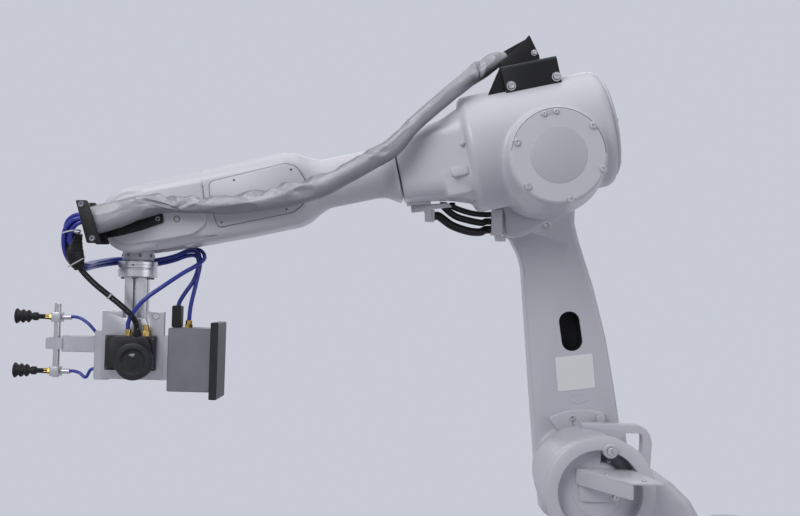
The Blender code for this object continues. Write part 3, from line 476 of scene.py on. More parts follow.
def piece(name, bm, look, body=None, stands=(), sharp=35, between=None):
    bm.normal_update()
    gaps = sum(1 for e in bm.edges if len(e.link_faces) != 2)
    volume = bm.calc_volume(signed=True)
    triangles = sum(len(f.verts) - 2 for f in bm.faces)
    if gaps or volume <= 0 or triangles > 150000:
        print("look at", name, "open", gaps, "cm3", round(volume * 1e6, 2), "triangles", triangles)
    mesh = bpy.data.meshes.new(name)
    bm.to_mesh(mesh)
    bm.free()
    obj = bpy.data.objects.new(name, mesh)
    scene.collection.objects.link(obj)
    mesh.materials.append(materials[look])
    mesh.polygons.foreach_set("use_smooth", [True] * len(mesh.polygons))
    if sharp:
        mesh.set_sharp_from_angle(angle=math.radians(sharp))
    if between:
        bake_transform(obj)
    else:
        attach(obj, body)
    if stands:
        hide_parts(*stands)
    return obj


def finished(node, look, edge=0.0, sharp=32):  # the CAD node's own shape, merged, with its edges broken
    bm = bmesh.new()
    bm.from_mesh(frame["nodes"][node].data)
    bmesh.ops.remove_doubles(bm, verts=bm.verts, dist=2e-6)
    bmesh.ops.dissolve_limit(bm, angle_limit=math.radians(0.5), verts=bm.verts, edges=bm.edges)
    if edge:
        rims = [e for e in bm.edges if len(e.link_faces) == 2 and e.calc_face_angle(0) > math.radians(50)]
        softened(bm, rims, edge, 2)
    words = node.split("_")
    name = words[0] + "".join(word.capitalize() for word in words[1:])
    return piece(name, bm, look, bodyOf[node], (node,), sharp)


def screw(at, axis, radius=0.0065, high=0.0045, washer=0.0, socket=0.5):
    axis = Vector(axis).normalized()
    r, s, w = radius, radius * socket, 0.0012 if washer else 0.0
    top, floor = w + high, w + high * 0.1
    profile = [(0, floor), (s, floor), (s, top - 0.0002), (s + 0.0003, top), (r - 0.0008, top),
               (r, top - 0.0008), (r, w)]
    if washer:
        profile += [(r, 0), (r + 0.0009, 0), (r + 0.0009, w), (washer - 0.0003, w), (washer, w - 0.0003),
                    (washer, -0.0004)]
    else:
        profile += [(r, -0.0004)]
    profile += [(0, -0.0004)]
    return turned(profile, Vector(at), axis, 24, s + 0.0001)


def smoothPath(points, count):
    points = [Vector(p) for p in points]
    ends = [points[0] * 2 - points[1]] + points + [points[-1] * 2 - points[-2]]
    fine = []
    for i in range(1, len(ends) - 2):
        p0, p1, p2, p3 = ends[i - 1:i + 3]
        for k in range(32):
            t = k / 32
            fine.append((p1 * 2 + (p2 - p0) * t + (p0 * 2 - p1 * 5 + p2 * 4 - p3) * t * t
                         + (p1 * 3 - p0 - p2 * 3 + p3) * t ** 3) * 0.5)
    fine.append(points[-1])
    lengths = [0.0]
    for p, q in zip(fine, fine[1:]):
        lengths.append(lengths[-1] + (q - p).length)
    out, k = [], 0
    for i in range(count):
        want = lengths[-1] * i / (count - 1)
        while k < len(fine) - 2 and lengths[k + 1] < want:
            k += 1
        gap = max(lengths[k + 1] - lengths[k], 1e-9)
        out.append(fine[k].lerp(fine[k + 1], min(1.0, (want - lengths[k]) / gap)))
    return out


def swept(points, radii, count=80, steps=16, beside=(0.0, 0.0), ends=(None, None), shape=None, weave=0):
    # a grid rolled round a smooth path, its seam merged and its ends filled
    path = smoothPath(points, count)
    length = sum((q - p).length for p, q in zip(path, path[1:]))
    radii = radii if isinstance(radii, (list, tuple)) else [radii, radii]
    frames = []
    normal = (path[1] - path[0]).normalized().orthogonal().normalized()
    for i, p in enumerate(path):
        turn = (path[min(i + 1, count - 1)] - path[max(i - 1, 0)]).normalized()
        turn = ends[0] if i == 0 and ends[0] else ends[1] if i == count - 1 and ends[1] else turn
        normal = (normal - turn * normal.dot(turn)).normalized()
        where = i / (count - 1) * (len(radii) - 1)
        k = min(int(where), len(radii) - 2)
        radius = radii[k] + (radii[k + 1] - radii[k]) * (where - k)
        angle = math.radians(beside[0])
        other = turn.cross(normal)
        middle = p + (normal * math.cos(angle) + other * math.sin(angle)) * beside[1]
        frames.append((middle, normal.copy(), other, radius))
    bm = bmesh.new()
    bmesh.ops.create_grid(bm, x_segments=steps, y_segments=count - 1, size=0.5, calc_uvs=bool(weave))
    layer = bm.loops.layers.uv.new("weave") if weave else None
    if weave:
        for face in bm.faces:
            for loop in face.loops:
                co = loop.vert.co
                loop[layer].uv = ((co.x + 0.5) * 2 * math.pi * radii[0] * weave,
                                  (co.y + 0.5) * length * weave)
    for v in bm.verts:
        u, w = v.co.x + 0.5, v.co.y + 0.5
        i = min(count - 1, round(w * (count - 1)))
        middle, normal, other, radius = frames[i]
        angle = 2 * math.pi * u
        out = normal * math.cos(angle) + other * math.sin(angle)
        v.co = middle + out * radius * (shape(out, w, length) if shape else 1.0)
    bmesh.ops.remove_doubles(bm, verts=bm.verts, dist=1e-6)
    bmesh.ops.holes_fill(bm, edges=[e for e in bm.edges if e.is_boundary], sides=0)
    bmesh.ops.recalc_face_normals(bm, faces=bm.faces)
    return bm


bodyOf = {name: obj["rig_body"] for name, obj in frame["nodes"].items()}

# Base, bolted to the floor
base = {"foot": ((-0.330, -0.230, 0), (0.230, 0.230, 0.032)), "corner": 0.060, "top": 0.186,
        "inset": 0.045, "bolt": 0.011, "ribs": (-0.070, 0.025, 0.120), "ribHalf": 0.008, "grain": 0.0042}


def makeBase():
    low, high = base["foot"]
    foot = brick(low, high, base["corner"], 0.003, *level, soft=8)
    rings = [((-0.020, 0, 0.020), 0.222, 0.196, 0.150), ((-0.016, 0, 0.055), 0.204, 0.184, 0.160),
             ((-0.008, 0, 0.110), 0.184, 0.176, 0.170), ((0, 0, 0.164), 0.172, 0.172, 0.171),
             ((0, 0, base["top"]), 0.172, 0.172, 0.171)]
    body = skinned([(Vector(c), a, b, r) for c, a, b, r in rings], ahead, side, 12)
    rear = brick((-0.310, -0.122, 0.010), (-0.120, 0.122, 0.145), 0.0, 0.006, *level)
    shapes = [foot, body, rear]
    grooves = [rod((0, 0, base["top"] - 0.012), (0, 0, 0.25), 0.1004, 96)]
    for i in (1, -1):
        for j in (1, -1):
            at = Vector((-0.050 + i * (0.280 - base["inset"]), j * (0.230 - base["inset"]), 0))
            grooves.append(rod(at - up * 0.02, at + up * 0.08, base["bolt"], 32))
        for x in base["ribs"]:  # from the foot up to the round body
            shapes.append(slab(((0.150, 0.028), (0.214, 0.028), (0.176, 0.100), (0.150, 0.100)),
                               x - base["ribHalf"], x + base["ribHalf"], home, side * i, up, ahead, 0.0,
                               0.002))
    piece("baseCasting", cast(shapes, (), grooves, base["grain"]), "paint", "base", ("base_casting",), 40)
    finished("connector_panel", "anodised", 0.0008)
    finished("power_plug", "charcoal", 0.001)
    finished("signal_plug", "steel", 0.0008)
    screws = [screw((-0.3163, y, z), -ahead, 0.0042, 0.003) for y in (-0.098, 0.098)
              for z in (0.045, 0.123)]
    piece("panelScrews", gathered(*screws), "steel", "base")
    rim = turned([(0.1035, 0.1855), (0.150, 0.1855), (0.150, 0.1875), (0.1485, 0.1885), (0.105, 0.1885),
                  (0.1035, 0.1875), (0.1035, 0.1855)], home, up, 96)
    piece("baseRim", rim, "dark", "base")


makeBase()
print("base done")

# Turret, turns on axis 1
turret = {"low": 0.191, "ring": 0.104, "wall": 0.024, "front": 0.100, "recess": 0.022, "grain": 0.0031,
          "motor": -0.130, "lug": (0.133, 0.528)}


def makeTurret():
    low = turret["low"]
    disc = turned([(0, low - 0.012), (0.100, low - 0.012), (0.100, low), (0.166, low), (0.168, low + 0.006),
                   (0.192, low + 0.010), (0.196, low + 0.016), (0.196, low + 0.044), (0.184, low + 0.054),
                   (0, low + 0.060)], home, up, 96)
    rings = [((0.000, -0.006, 0.225), 0.168, 0.120, 0.100), ((0.018, -0.018, 0.270), 0.158, 0.099, 0.060),
             ((0.040, -0.026, 0.330), 0.136, 0.090, 0.030), ((0.064, -0.027, 0.390), 0.120, 0.089, 0.024),
             ((0.077, -0.027, 0.430), 0.109, 0.089, 0.020), ((0.098, -0.027, 0.467), 0.090, 0.088, 0.018)]
    column = skinned([(Vector(c), a, b, r) for c, a, b, r in rings], ahead, side, 8)
    shoulderShape = rod(shoulder - side * 0.118, shoulder + side * 0.020, 0.098, 96)
    r, wall, front = turret["ring"], turret["wall"], turret["front"]
    ring = turned([(0, -0.060), (0.098, -0.060), (0.098, 0.030), (0.102, 0.055), (r, 0.062),
                   (r, front - 0.008), (r - 0.009, front), (r - wall + 0.006, front),
                   (r - wall, front - 0.005), (r - wall, 0.02), (0, 0.02)], shoulder, side, 96)
    x = turret["motor"]
    deck = brick((x - 0.074, -0.082, 0.232), (x + 0.074, 0.082, 0.292), 0.050, 0.004, *level, soft=8)
    recess = rod(shoulder + side * turret["recess"], shoulder + side * 0.2, r - wall, 96)
    seat = rod((x, 0, 0.292), (x, 0, 0.5), 0.0615, 64)
    bore = rod(shoulder - side * 0.138, shoulder - side * 0.106, 0.0604, 64)
    bm = cast([disc, column, shoulderShape, ring, deck], [recess, seat], [bore], turret["grain"], 5)
    lugX, lugZ = turret["lug"]
    lug = rod((lugX, 0.018, lugZ), (lugX, 0.104, lugZ), 0.0135, 48, 0.001)
    bm = carved(bm, [lug], True)
    piece("turretCasting", bm, "paint", "turret", ("turret_casting",), 40)
    finished("axis1_motor", "paint", 0.0, sharp=40)
    finished("axis2_motor", "paint", 0.0, sharp=40)
    rim = turned([(0.0785, 0.060), (0.1035, 0.060), (0.1045, 0.092), (0.1030, 0.0970), (0.0990, 0.0995),
                  (0.0865, 0.1005), (0.0800, 0.1000), (0.0785, 0.0985), (0.0785, 0.060)], shoulder, side,
                 128)
    piece("turretRim", rim, "paint", "turret")
    web = slab([(0.0, 0.012, 0.010)] + arcOf((0, 0), 0.0800, 168, 454, 60), 0.0690, 0.0765, shoulder,
               edge=0.0012)
    piece("turretWeb", web, "paint", "turret")
    fasteners = [screw((lugX, 0.1038, lugZ), side, 0.0075, 0.0060, 0.0125),
                 screw((0.1764, 0.0825, 0.479), side, 0.0060, 0.0050, 0.0085),
                 screw((0.1180, 0.0825, 0.4405), side, 0.0060, 0.0050, 0.0085)]
    fasteners += [screw(at, side, 0.0042, 0.0035)
                  for at, _ in around(shoulder + side * 0.0343, ahead, up, 0.0565, 28, 4)]
    fasteners += [screw(at, up, 0.0030, 0.0030)
                  for at, _ in around(Vector((x, 0, 0.3020)), ahead, side, 0.0545, 28, 4)]
    piece("turretScrews", gathered(*fasteners), "steel", "turret")


def makeEar():
    outline = [(0.018, 0.470, 0.003), (0.0145, 0.535, 0.016), (0.034, 0.5575, 0.016),
               (0.1585, 0.5590, 0.003)]
    outline += arcOf((shoulder.x, shoulder.z), 0.0972, 86, 168, 14)
    window = ((0.0345, 0.4985, 0.010), (0.0345, 0.5415, 0.010), (0.0785, 0.5405, 0.010),
              (0.0785, 0.4985, 0.004))
    bm = carved(slab(outline, -0.092, -0.062, edge=0.0035), [slab(window, -0.11, -0.04)])
    rims = [e for e in bm.edges if e.is_manifold and e.calc_face_angle(0) > math.radians(60)
            and all(0.030 < v.co.x < 0.082 and 0.495 < v.co.z < 0.545 for v in e.verts)]
    softened(bm, rims, 0.003, 3)
    piece("liftingEar", bm, "paint", "turret", ("lifting_ear",))


bracket = {"top": ((0.193, 0.0806, 0.004), (0.0886, 0.0806, 0.004), (0.062, 0.222, 0.006),
                   (0.121, 0.222, 0.004)),
           "flange": ((0.193, 0.081), (0.187, 0.081), (0.117, 0.220), (0.121, 0.220)),
           "foot": ((0.190, 0.4915, 0.004), (0.100, 0.4915, 0.004), (0.112, 0.430, 0.006),
                    (0.184, 0.430, 0.006)), "high": 0.4920, "thick": 0.0040}


def makeBracket():
    high = bracket["high"]
    top = slab(bracket["top"], high - bracket["thick"], high, *level, edge=0.0010)
    flange = slab(bracket["flange"], high - 0.030, high - 0.001, *level, edge=0.0008)
    foot = slab(bracket["foot"], 0.0776, 0.0826, edge=0.0010)
    bm = carved(top, [flange, foot], True)
    piece("motorBracket", bm, "cover", "turret", ("motor_bracket",))
    nuts = [screw((x, y, high - 0.0001), up, 0.0040, 0.0030) for x, y in ((0.150, 0.1500), (0.095, 0.2050))]
    piece("bracketScrews", gathered(*nuts), "steel", "turret")


makeTurret()
makeEar()
makeBracket()
print("turret done")

# Lower arm, turns on axis 2
lowerArm = {"front": -0.152, "back": -0.236, "headRadius": 0.100, "slot": (0.044, 0.084, 0.050),
            "grain": 0.0030, "slotAt": (0.169, 0, 0.7407), "crease": (0.195, -0.152, 0.825), "slope": 14.0,
            "badge": (0.1515, 0.5990), "badgeFlat": 0.42}


def makeLowerArm():
    front, back, r = lowerArm["front"], lowerArm["back"], lowerArm["headRadius"]
    low, high = (shoulder.x, shoulder.z), (elbow.x, elbow.z)
    outline = [(0.2967, 0.9331), (0.2800, 0.9040), (0.2712, 0.8764), (0.2646, 0.8019), (0.2588, 0.7382),
               (0.2475, 0.6112), (0.2393, 0.5248), (0.2325, 0.4500), (0.2300, 0.4200), (0.2230, 0.3850)]
    outline += arcOf(low, 0.115, -52, -178, 24)
    outline += [(0.0470, 0.5300), (0.0601, 0.5463), (0.0792, 0.6580), (0.0933, 0.7298), (0.1214, 0.8355),
                (0.1549, 0.9350), (0.1640, 0.9700)]
    outline += arcOf(high, r - 0.006, 205, -20, 40) + [(0.3180, 0.9850)]
    web = slab(outline, back, front, edge=0.008, steps=3)
    head = [(0.2967, 0.9331), (0.3113, 0.9380), (0.3160, 0.9550), (0.3180, 0.9850)]
    head += arcOf(high, r, -20, 232, 48)
    head = slab(head + [(0.2676, 0.9402)], -0.200, -0.123, edge=0.004)
    hub = rod(shoulder - side * 0.180, shoulder - side * 0.123, 0.092, 96)
    shapes = [web, head, hub]
    for centre in (shoulder, elbow):
        shapes.append(rod(centre - side * 0.180, centre - side * 0.111, 0.060, 64))
    crease = Vector((-0.040, 0, 0.250)).normalized()
    flat = Vector((crease.z, 0, -crease.x))
    t = math.radians(lowerArm["slope"])
    down, normal = flat * math.cos(t) - side * math.sin(t), side * math.cos(t) + flat * math.sin(t)
    wedge = slab(((0, -0.40), (0.20, -0.40), (0.20, 0.118), (0.02, 0.105), (0, 0.10)), 0, 0.026,
                 Vector(lowerArm["crease"]), down, crease, normal)
    w, h, deep = lowerArm["slot"]
    onSlot = (Vector(lowerArm["slotAt"]), across, lean, side)

    def slotted(less, low, high):  # a long hole's shape, smaller by less
        return brick((less - w / 2, less - h / 2, low), (w / 2 - less, h / 2 - less, high),
                     w / 2 - less - 0.0004, 0.0, *onSlot, soft=16)

    slot = slotted(0, front - deep, front + 0.02)
    bm = cast(shapes, [wedge], [slot], lowerArm["grain"], 5)
    piece("lowerArmCasting", bm, "paint", "lower_arm", ("lower_arm_casting",), 40)
    lining = slotted(0.0002, front - deep + 0.0004, front - 0.004)
    hollow = slotted(0.0016, front - deep + 0.002, front + 0.004)
    piece("slotLining", carved(lining, [hollow]), "rubber", "lower_arm")
    for node in ("arm_cover_low", "arm_cover_high"):
        finished(node, "cover", sharp=45)
    finished("label_plate", "label")
    pad = slab([(0.2169, 0.5601, 0.010), (0.1586, 0.5825, 0.030), (0.0975, 0.5736, 0.008),
                (0.0940, 0.5486, 0.006), (0.1300, 0.5470, 0.004), (0.1281, 0.5310, 0.006),
                (0.1781, 0.5131, 0.008)], -0.158, -0.1337, edge=0.0042, steps=4)
    piece("armPad", pad, "paint", "lower_arm")
    badgeX, badgeZ = lowerArm["badge"]
    badge = turned([(0.0, 0.0), (0.0225, 0.0), (0.0225, 0.0007), (0.0215, 0.0012), (0.0195, 0.0012),
                    (0.0188, 0.0006), (0.0, 0.0006)], Vector((badgeX, front - 0.0002, badgeZ)), side, 64)
    for v in badge.verts:
        v.co.z = badgeZ + (v.co.z - badgeZ) * lowerArm["badgeFlat"]
    piece("castBadge", badge, "paint", "lower_arm")
    mark = slab(((0.1652, 0.5555), (0.1640, 0.5555), (0.1610, 0.5330), (0.1622, 0.5330)), -0.1342, -0.1337)
    piece("scribedMark", mark, "dark", "lower_arm")
    bumper = rod((0.107, -0.1337, 0.5605), (0.107, -0.1225, 0.5605), 0.0085, 48, 0.0012)
    piece("bumperPin", bumper, "cover", "lower_arm", ("bumper_pin",))
    armScrews = [screw((0.1644, -0.1340, 0.5602), side, 0.0052, 0.0035),
                 screw((0.2242, -0.1500, 0.9644), side, 0.0080, 0.0080)]
    low = Vector((shoulder.x - 0.003, -0.2403, shoulder.z + 0.003))
    high = Vector((elbow.x - 0.002, -0.2403, elbow.z - 0.002))
    armScrews += [screw(at, -side, 0.0042, 0.0030) for at, _ in around(low, ahead, up, 0.0800, 20, 6)]
    armScrews += [screw(at, -side, 0.0040, 0.0028) for at, _ in around(high, ahead, up, 0.0685, 20, 6)]
    armScrews += [screw((x, -0.1382, z), side, 0.0048, 0.0030)
                  for x, z in ((0.3375, 1.0157), (0.3189, 0.9379))]
    piece("lowerArmScrews", gathered(*armScrews), "steel", "lower_arm")
    finished("arm_clip", "zinc")


makeLowerArm()
print("lower arm done")

# Housing, turns on axis 3
housing = {"barrel": 0.115, "rear": -0.125, "front": 0.156, "grain": 0.0029,
           "cover": (0.089, 0.1463, 0.0058), "disc": 0.052}


def makeHousing():
    r, rear, front = housing["barrel"], housing["rear"], housing["front"]
    barrel = turned([(0, rear), (r - 0.016, rear), (r - 0.005, rear + 0.004), (r, rear + 0.016),
                     (r, front - 0.008), (r - 0.008, front), (0, front)], roll, along, 128)
    nose = skinned([(spot(0.120, 0, 0), 0.098, 0.098, 0.060), (spot(0.162, 0, -0.002), 0.092, 0.089, 0.050),
                    (spot(0.195, 0, -0.003), 0.082, 0.076, 0.036),
                    (spot(0.260, 0, -0.001), 0.071, 0.067, 0.030),
                    (spot(0.290, 0, 0), 0.0655, 0.0655, 0.030)], side, over, 8)
    boss = turned([(0, -0.118), (0.096, -0.118), (0.100, -0.100), (0.104, 0.020), (0.103, 0.070),
                   (0.096, 0.105), (0.091, 0.1403), (0.089, 0.1443), (0.087, 0.1460), (0, 0.1460)], elbow,
                  side, 128)
    shapes = [barrel, nose, boss]
    shapes.append(rod(spot(-0.1090, -0.06, 0.027), spot(-0.1090, -0.122, 0.030), 0.008, 24))
    shapes.append(brick((0.162, -0.081, 0.050), (0.209, -0.027, 0.0815), 0.006, 0.003, *onArm))
    grooves = [rod(elbow - side * 0.138, elbow - side * 0.106, 0.0604, 64),
               rod(spot(0.31, 0, 0), spot(0.278, 0, 0), 0.0404, 64)]
    bm = cast(shapes, (), grooves, housing["grain"], 5)
    piece("housingCasting", bm, "paint", "housing", ("housing_casting",), 40)
    bosses = [rod(spot(0.1640, 0.070, 0.0130), spot(0.1640, 0.0985, 0.0130), 0.0048, 32, 0.0022)]
    bosses.append(brick((0.1620, -0.0460, 0.0700), (0.1950, -0.0280, 0.0950), 0.0060, 0.0030, *onArm))
    piece("housingBosses", gathered(*bosses), "paint", "housing")
    cover, y, thick = housing["cover"]
    centre = elbow + side * y
    d = housing["disc"]
    plate = turned([(0, 0), (cover - 0.0015, 0), (cover - 0.0006, 0.0010), (cover - 0.0006, 0.0022),
                    (cover - 0.0040, 0.0044), (d + 0.008, thick - 0.0002), (d + 0.004, thick), (0, thick)],
                   centre, side, 128)
    piece("axis3Cover", plate, "cover", "housing", ("axis3_cover",), 30)
    disc = turned([(0, 0), (d, 0), (d, 0.0006), (d - 0.0012, 0.0012), (0, 0.0012)],
                  centre + side * (thick + 0.0001), side, 96)
    piece("coverDisc", disc, "disc", "housing", ("cover_disc",))
    # Painted shade: a thin dark steel arc stands for the shadow in the gap round the axis-3 cover, and only
    # its upper part is kept
    gapShadeAt = centre + side * 0.0030
    seam = hoop(0.0862, 0.0872, 0, 0.0010, gapShadeAt, side, 128)
    seam = carved(seam, [brick((-0.2, -0.2, -0.01), (0.2, 0.006, 0.02), 0, 0, gapShadeAt)])
    piece("coverSeam", seam, "dark", "housing")
    screws = [screw((x, y + 0.0036, z), side, 0.0062, 0.0042, 0.0078, 0.45)
              for x, z in ((0.3256, 1.0923), (0.1879, 1.1270), (0.1674, 1.0480), (0.2254, 0.9902),
                           (0.3041, 1.0125))]
    screws += [screw((x, y + 0.0054, z), side, 0.0046, 0.0030)
               for x, z in ((0.2771, 1.1462), (0.2555, 1.1512))]
    screws += [screw(spot(s, 0.0660 * i, 0.1065), side * i, 0.0062, 0.0042, 0.0092)
               for s in (0.0467, -0.0421) for i in (1, -1)]
    screws += [screw(at, -along, 0.0044, 0.0030)
               for at, _ in around(spot(-0.1320, 0, 0), side, over, 0.0865, 0, 6)]
    screws.append(screw(spot(-0.034, 0.0, 0.1478), over, 0.0058, 0.0040, 0.0085))
    piece("housingScrews", gathered(*screws), "steel", "housing")
    tab = slab(((0.2845, 1.1420, 0.005), (0.2835, 1.1520, 0.005), (0.2495, 1.1580, 0.005),
                (0.2490, 1.1490, 0.005)), y + 0.0030, y + 0.0055, edge=0.0006)
    piece("coverTab", tab, "panel", "housing")
    finished("rear_cover", "cover", sharp=40)


bridge = {"leg": 0.066, "web": 0.148, "thick": 0.004, "floor": 0.0975, "reach": (-0.050, 0.059),
          "jaw": ((0.0560, 0.1500, 0.002), (0.0500, 0.1640, 0.004), (0.0080, 0.1870, 0.004),
                  (-0.0130, 0.2040, 0.003), (-0.0240, 0.1600, 0.003), (-0.0230, 0.1500, 0.002)),
          "farJaw": ((0.0420, 0.1500, 0.002), (0.0380, 0.1900, 0.004), (-0.0130, 0.2060, 0.003),
                     (-0.0230, 0.1500, 0.002))}


def makeBridge():
    leg, web, t, floor = bridge["leg"], bridge["web"], bridge["thick"], bridge["floor"]
    outer = [(-leg, floor - 0.006), (-leg, web, 0.009), (leg, web, 0.009), (leg, floor - 0.006),
             (leg - t, floor - 0.006), (leg - t, web - t, 0.005), (-leg + t, web - t, 0.005),
             (-leg + t, floor - 0.006)]
    channel = slab(outer, *bridge["reach"], roll, side, over, along, edge=0.0008, steps=2, soft=6)
    gusset = slab(((0.0560, 0.1478), (0.0600, 0.1478), (0.0930, 0.1000), (0.0890, 0.1000)), -0.060, 0.060,
                  *onArm, edge=0.0008, steps=2)
    clear = rod(spot(-0.08, 0, 0), spot(0.12, 0, 0), 0.1156, 128)
    cheeks = [slab(((0.0570, 0.1470), (0.0920, 0.1000), (0.0570, 0.1000)), y, y + 0.0030, *onArm,
                   edge=0.0006, steps=2) for y in (-0.0600, 0.0570)]
    bm = carved(carved(channel, [gusset, *cheeks], True), [clear])
    piece("hoseBridge", bm, "black", "housing", ("hose_bridge",))
    near = slab(bridge["jaw"], 0.0290, 0.0340, *onArm, edge=0.0008, steps=2)
    far = slab(bridge["farJaw"], -0.0100, -0.0060, *onArm, edge=0.0008, steps=2)
    floorPlate = brick((-0.0250, -0.0100, 0.1478), (0.0560, 0.0340, 0.1515), 0.003, 0.0006, roll, along,
                       side, over)
    block = brick((-0.0180, 0.1505, -0.0080), (0.0170, 0.1700, 0.0300), 0.003, 0.0010, *onArm)
    piece("hoseClamp", gathered(near, far, floorPlate, block), "black", "housing", ("hose_clamp",))
    screws = [screw(spot(-0.0150, 0.0340, 0.1669), side, 0.0040, 0.0040, 0.0062),
              screw(spot(-0.0180, 0.0120, 0.1514), over, 0.0040, 0.0030),
              screw(spot(0.0500, 0.0240, 0.1514), over, 0.0040, 0.0030)]
    piece("clampScrews", gathered(*screws), "steel", "housing")
    finished("housing_clip", "zinc")


makeHousing()
makeBridge()
print("housing done")

# Forearm, turns on axis 4
# line is the width of the painted shade rim round each forearm cover
forearm = {"halfY": 0.063, "round": 0.0485, "wrist": 0.0635, "fork": (0.043, 0.084), "grain": 0.0025,
           "panel": ((0.4706, 0.0100, 0.006), (0.4812, 0.0377, 0.008), (0.5008, 0.0470, 0.006),
                     (0.6505, 0.0406, 0.008), (0.6560, 0.0000, 0.004), (0.6500, -0.0480, 0.008),
                     (0.5050, -0.0480, 0.006), (0.4812, -0.0360, 0.008), (0.4706, -0.0100, 0.006)),
           "line": 0.0008, "pocketAt": (0.716, 0.0595, -0.0588), "pocketLean": (0.62, 0.78),
           "pocket": ((-0.064, -0.0050, 0.003), (-0.010, -0.0085, 0.020), (0.056, -0.0080, 0.006),
                      (0.062, 0.0040, 0.006), (-0.010, 0.0060, 0.020)), "plugAt": (0.7235, -0.0169)}


def makeForearm():
    half, r, wrist = forearm["halfY"], forearm["round"], forearm["wrist"]
    sections = [(0.2920, 0.0615, 0.0615, 0.030), (0.2960, 0.0645, 0.0645, 0.031),
                (0.3060, 0.0600, 0.0600, 0.040), (0.3220, 0.0515, 0.0515, 0.0490),
                (0.3400, r, r, r - 0.0005), (0.4360, r, r, r - 0.0005), (0.4560, 0.0530, 0.0555, 0.045),
                (0.4780, 0.0600, 0.0665, 0.036), (0.5000, half, 0.0722, 0.032),
                (0.6000, half, 0.0722, 0.030), (0.7600, half, 0.0685, 0.026), (0.8060, half, wrist, 0.018)]
    body = skinned([(spot(s, 0, 0), a, b, c) for s, a, b, c in sections], side, over, 8)
    end = turned([(0, -half), (wrist - 0.006, -half), (wrist, -half + 0.006), (wrist, half - 0.006),
                  (wrist - 0.006, half), (0, half)], tilt, side, 96)
    spigot = rod(spot(0.300, 0, 0), spot(0.280, 0, 0), 0.040, 64)
    gap, deep = forearm["fork"]
    fork = slab(((-deep, -0.120, 0.012), (-deep, 0.120, 0.012), (0.120, 0.120), (0.120, -0.120)), -gap, gap,
                tilt, along, over, side)
    inside, outside = (0.0622, 0.0702), (0.080, 0.088)
    seam = skinned([(spot(s, 0, -0.001), *reach, 0.026)
                    for s, reach in ((0.6640, outside), (0.6650, outside), (0.6650, inside),
                                     (0.6640, inside))], side, over, 8, True)
    s, y, v = forearm["pocketAt"]
    a, b = forearm["pocketLean"]
    pockets = [slab(forearm["pocket"], -0.0050, 0.030, spot(s, y * i, v), along,
                    (side * i * a + over * b).normalized(), (side * i * b - over * a).normalized())
               for i in (1, -1)]
    bm = cast([body, end, spigot], [fork], [seam], forearm["grain"], 4)
    bm = carved(bm,
                pockets + [rod(tilt + side * i * 0.020, tilt + side * i * 0.0565, 0.0204, 64)
                           for i in (1, -1)])
    piece("forearmCasting", bm, "paint", "forearm", ("forearm_casting",), 40)
    wristEdge = ([(0.6640, 0.0460, 0.008), (0.7700, 0.0480, 0.004)]
                 + arcOf((arm["reach"], 0), 0.0475, 80, -80, 24)
                 + [(0.7700, -0.0500, 0.004), (0.7000, -0.0520, 0.006), (0.6700, -0.0380, 0.010)])
    line, panel = forearm["line"], forearm["panel"]
    # Painted shade: a dark rubber sheet under each forearm cover, wider than the cover by line all round,
    # stands for the shadow in the gap round it
    gapShadeOutline = [(s + line * (1 if s > 0.57 else -1), v + line * (1 if v > 0 else -1), r) for s, v, r in panel]
    for i, name in ((1, "near"), (-1, "far")):
        seam = slab(gapShadeOutline, half - 0.002, half + 0.0012, roll, along, over, side * i)
        piece("panelSeam" + name.capitalize(), seam, "rubber", "forearm")
        plate = slab(panel, half + 0.0002, half + 0.0026, roll, along, over, side * i, edge=0.0008, steps=2)
        piece("forearmCover" + name.capitalize(), plate, "panel", "forearm", ("forearm_cover_" + name,))
        plate = slab(wristEdge, half - 0.0010, 0.0684, roll, along, over, side * i, edge=0.0048, steps=4)
        piece("wristCover" + name.capitalize(), plate, "paint", "forearm", ("wrist_cover_" + name,))
    screws, rings, discs = [], [], []
    plugS, plugV = forearm["plugAt"]
    for i in (1, -1):
        for s, v in ((0.6029, 0.0350), (0.4922, 0.0331), (0.6420, -0.0400), (0.5150, -0.0400)):
            screws.append(screw(spot(s, 0.0655 * i, v), side * i, 0.0022, 0.0012))
        rings.append(hoop(0.0048, 0.0064, -0.0004, 0.0006, spot(plugS, 0.0683 * i, plugV), side * i, 32))
        discs.append(screw(spot(plugS, 0.0682 * i, plugV), side * i, 0.0046, 0.0010, 0.0, 0.3))
    piece("forearmScrews", gathered(*screws, *rings), "dark", "forearm")
    piece("wristPlugs", gathered(*discs), "paint", "forearm")


endBar = {"bolts": ((1.1200, 0.9590), (1.0975, 0.8968)),
          "plate": ((1.1312, 0.9665, 0.003), (1.1100, 0.9670, 0.003), (1.0814, 0.8889, 0.003),
                    (1.1078, 0.8882, 0.003))}


def makeEndBar():
    front = slab(endBar["plate"], 0.1399, 0.1440, edge=0.0006, steps=2)
    rear = slab(endBar["plate"], 0.0868, 0.0909, edge=0.0006, steps=2)
    strap = slab(((1.1090, 0.9075, 0.002), (1.1070, 0.8990, 0.002), (1.0450, 0.9110, 0.030),
                  (0.9850, 0.9340, 0.004), (0.9880, 0.9520, 0.004), (1.0450, 0.9330, 0.030)), 0.0687,
                 0.0735, edge=0.0008, steps=2)
    shapes = [front, rear, strap, rod((1.0975, 0.0714, 0.9040), (1.0975, 0.0885, 0.9040), 0.0070, 32)]
    shapes += [rod((x, 0.0880, z), (x, 0.1420, z), 0.0045, 24) for x, z in endBar["bolts"]]
    piece("hoseEndBar", carved(shapes[0], shapes[1:], True), "black", "forearm", ("hose_end_bar",))
    bolts = [screw((x, 0.1438, z), side, 0.0050, 0.0026, 0.0058) for x, z in endBar["bolts"]]
    bolts.append(screw((0.9960, 0.0724, 0.9405), side, 0.0046, 0.0030))
    piece("endBarBolts", gathered(*bolts), "anodised", "forearm")


makeForearm()
makeEndBar()
print("forearm done")

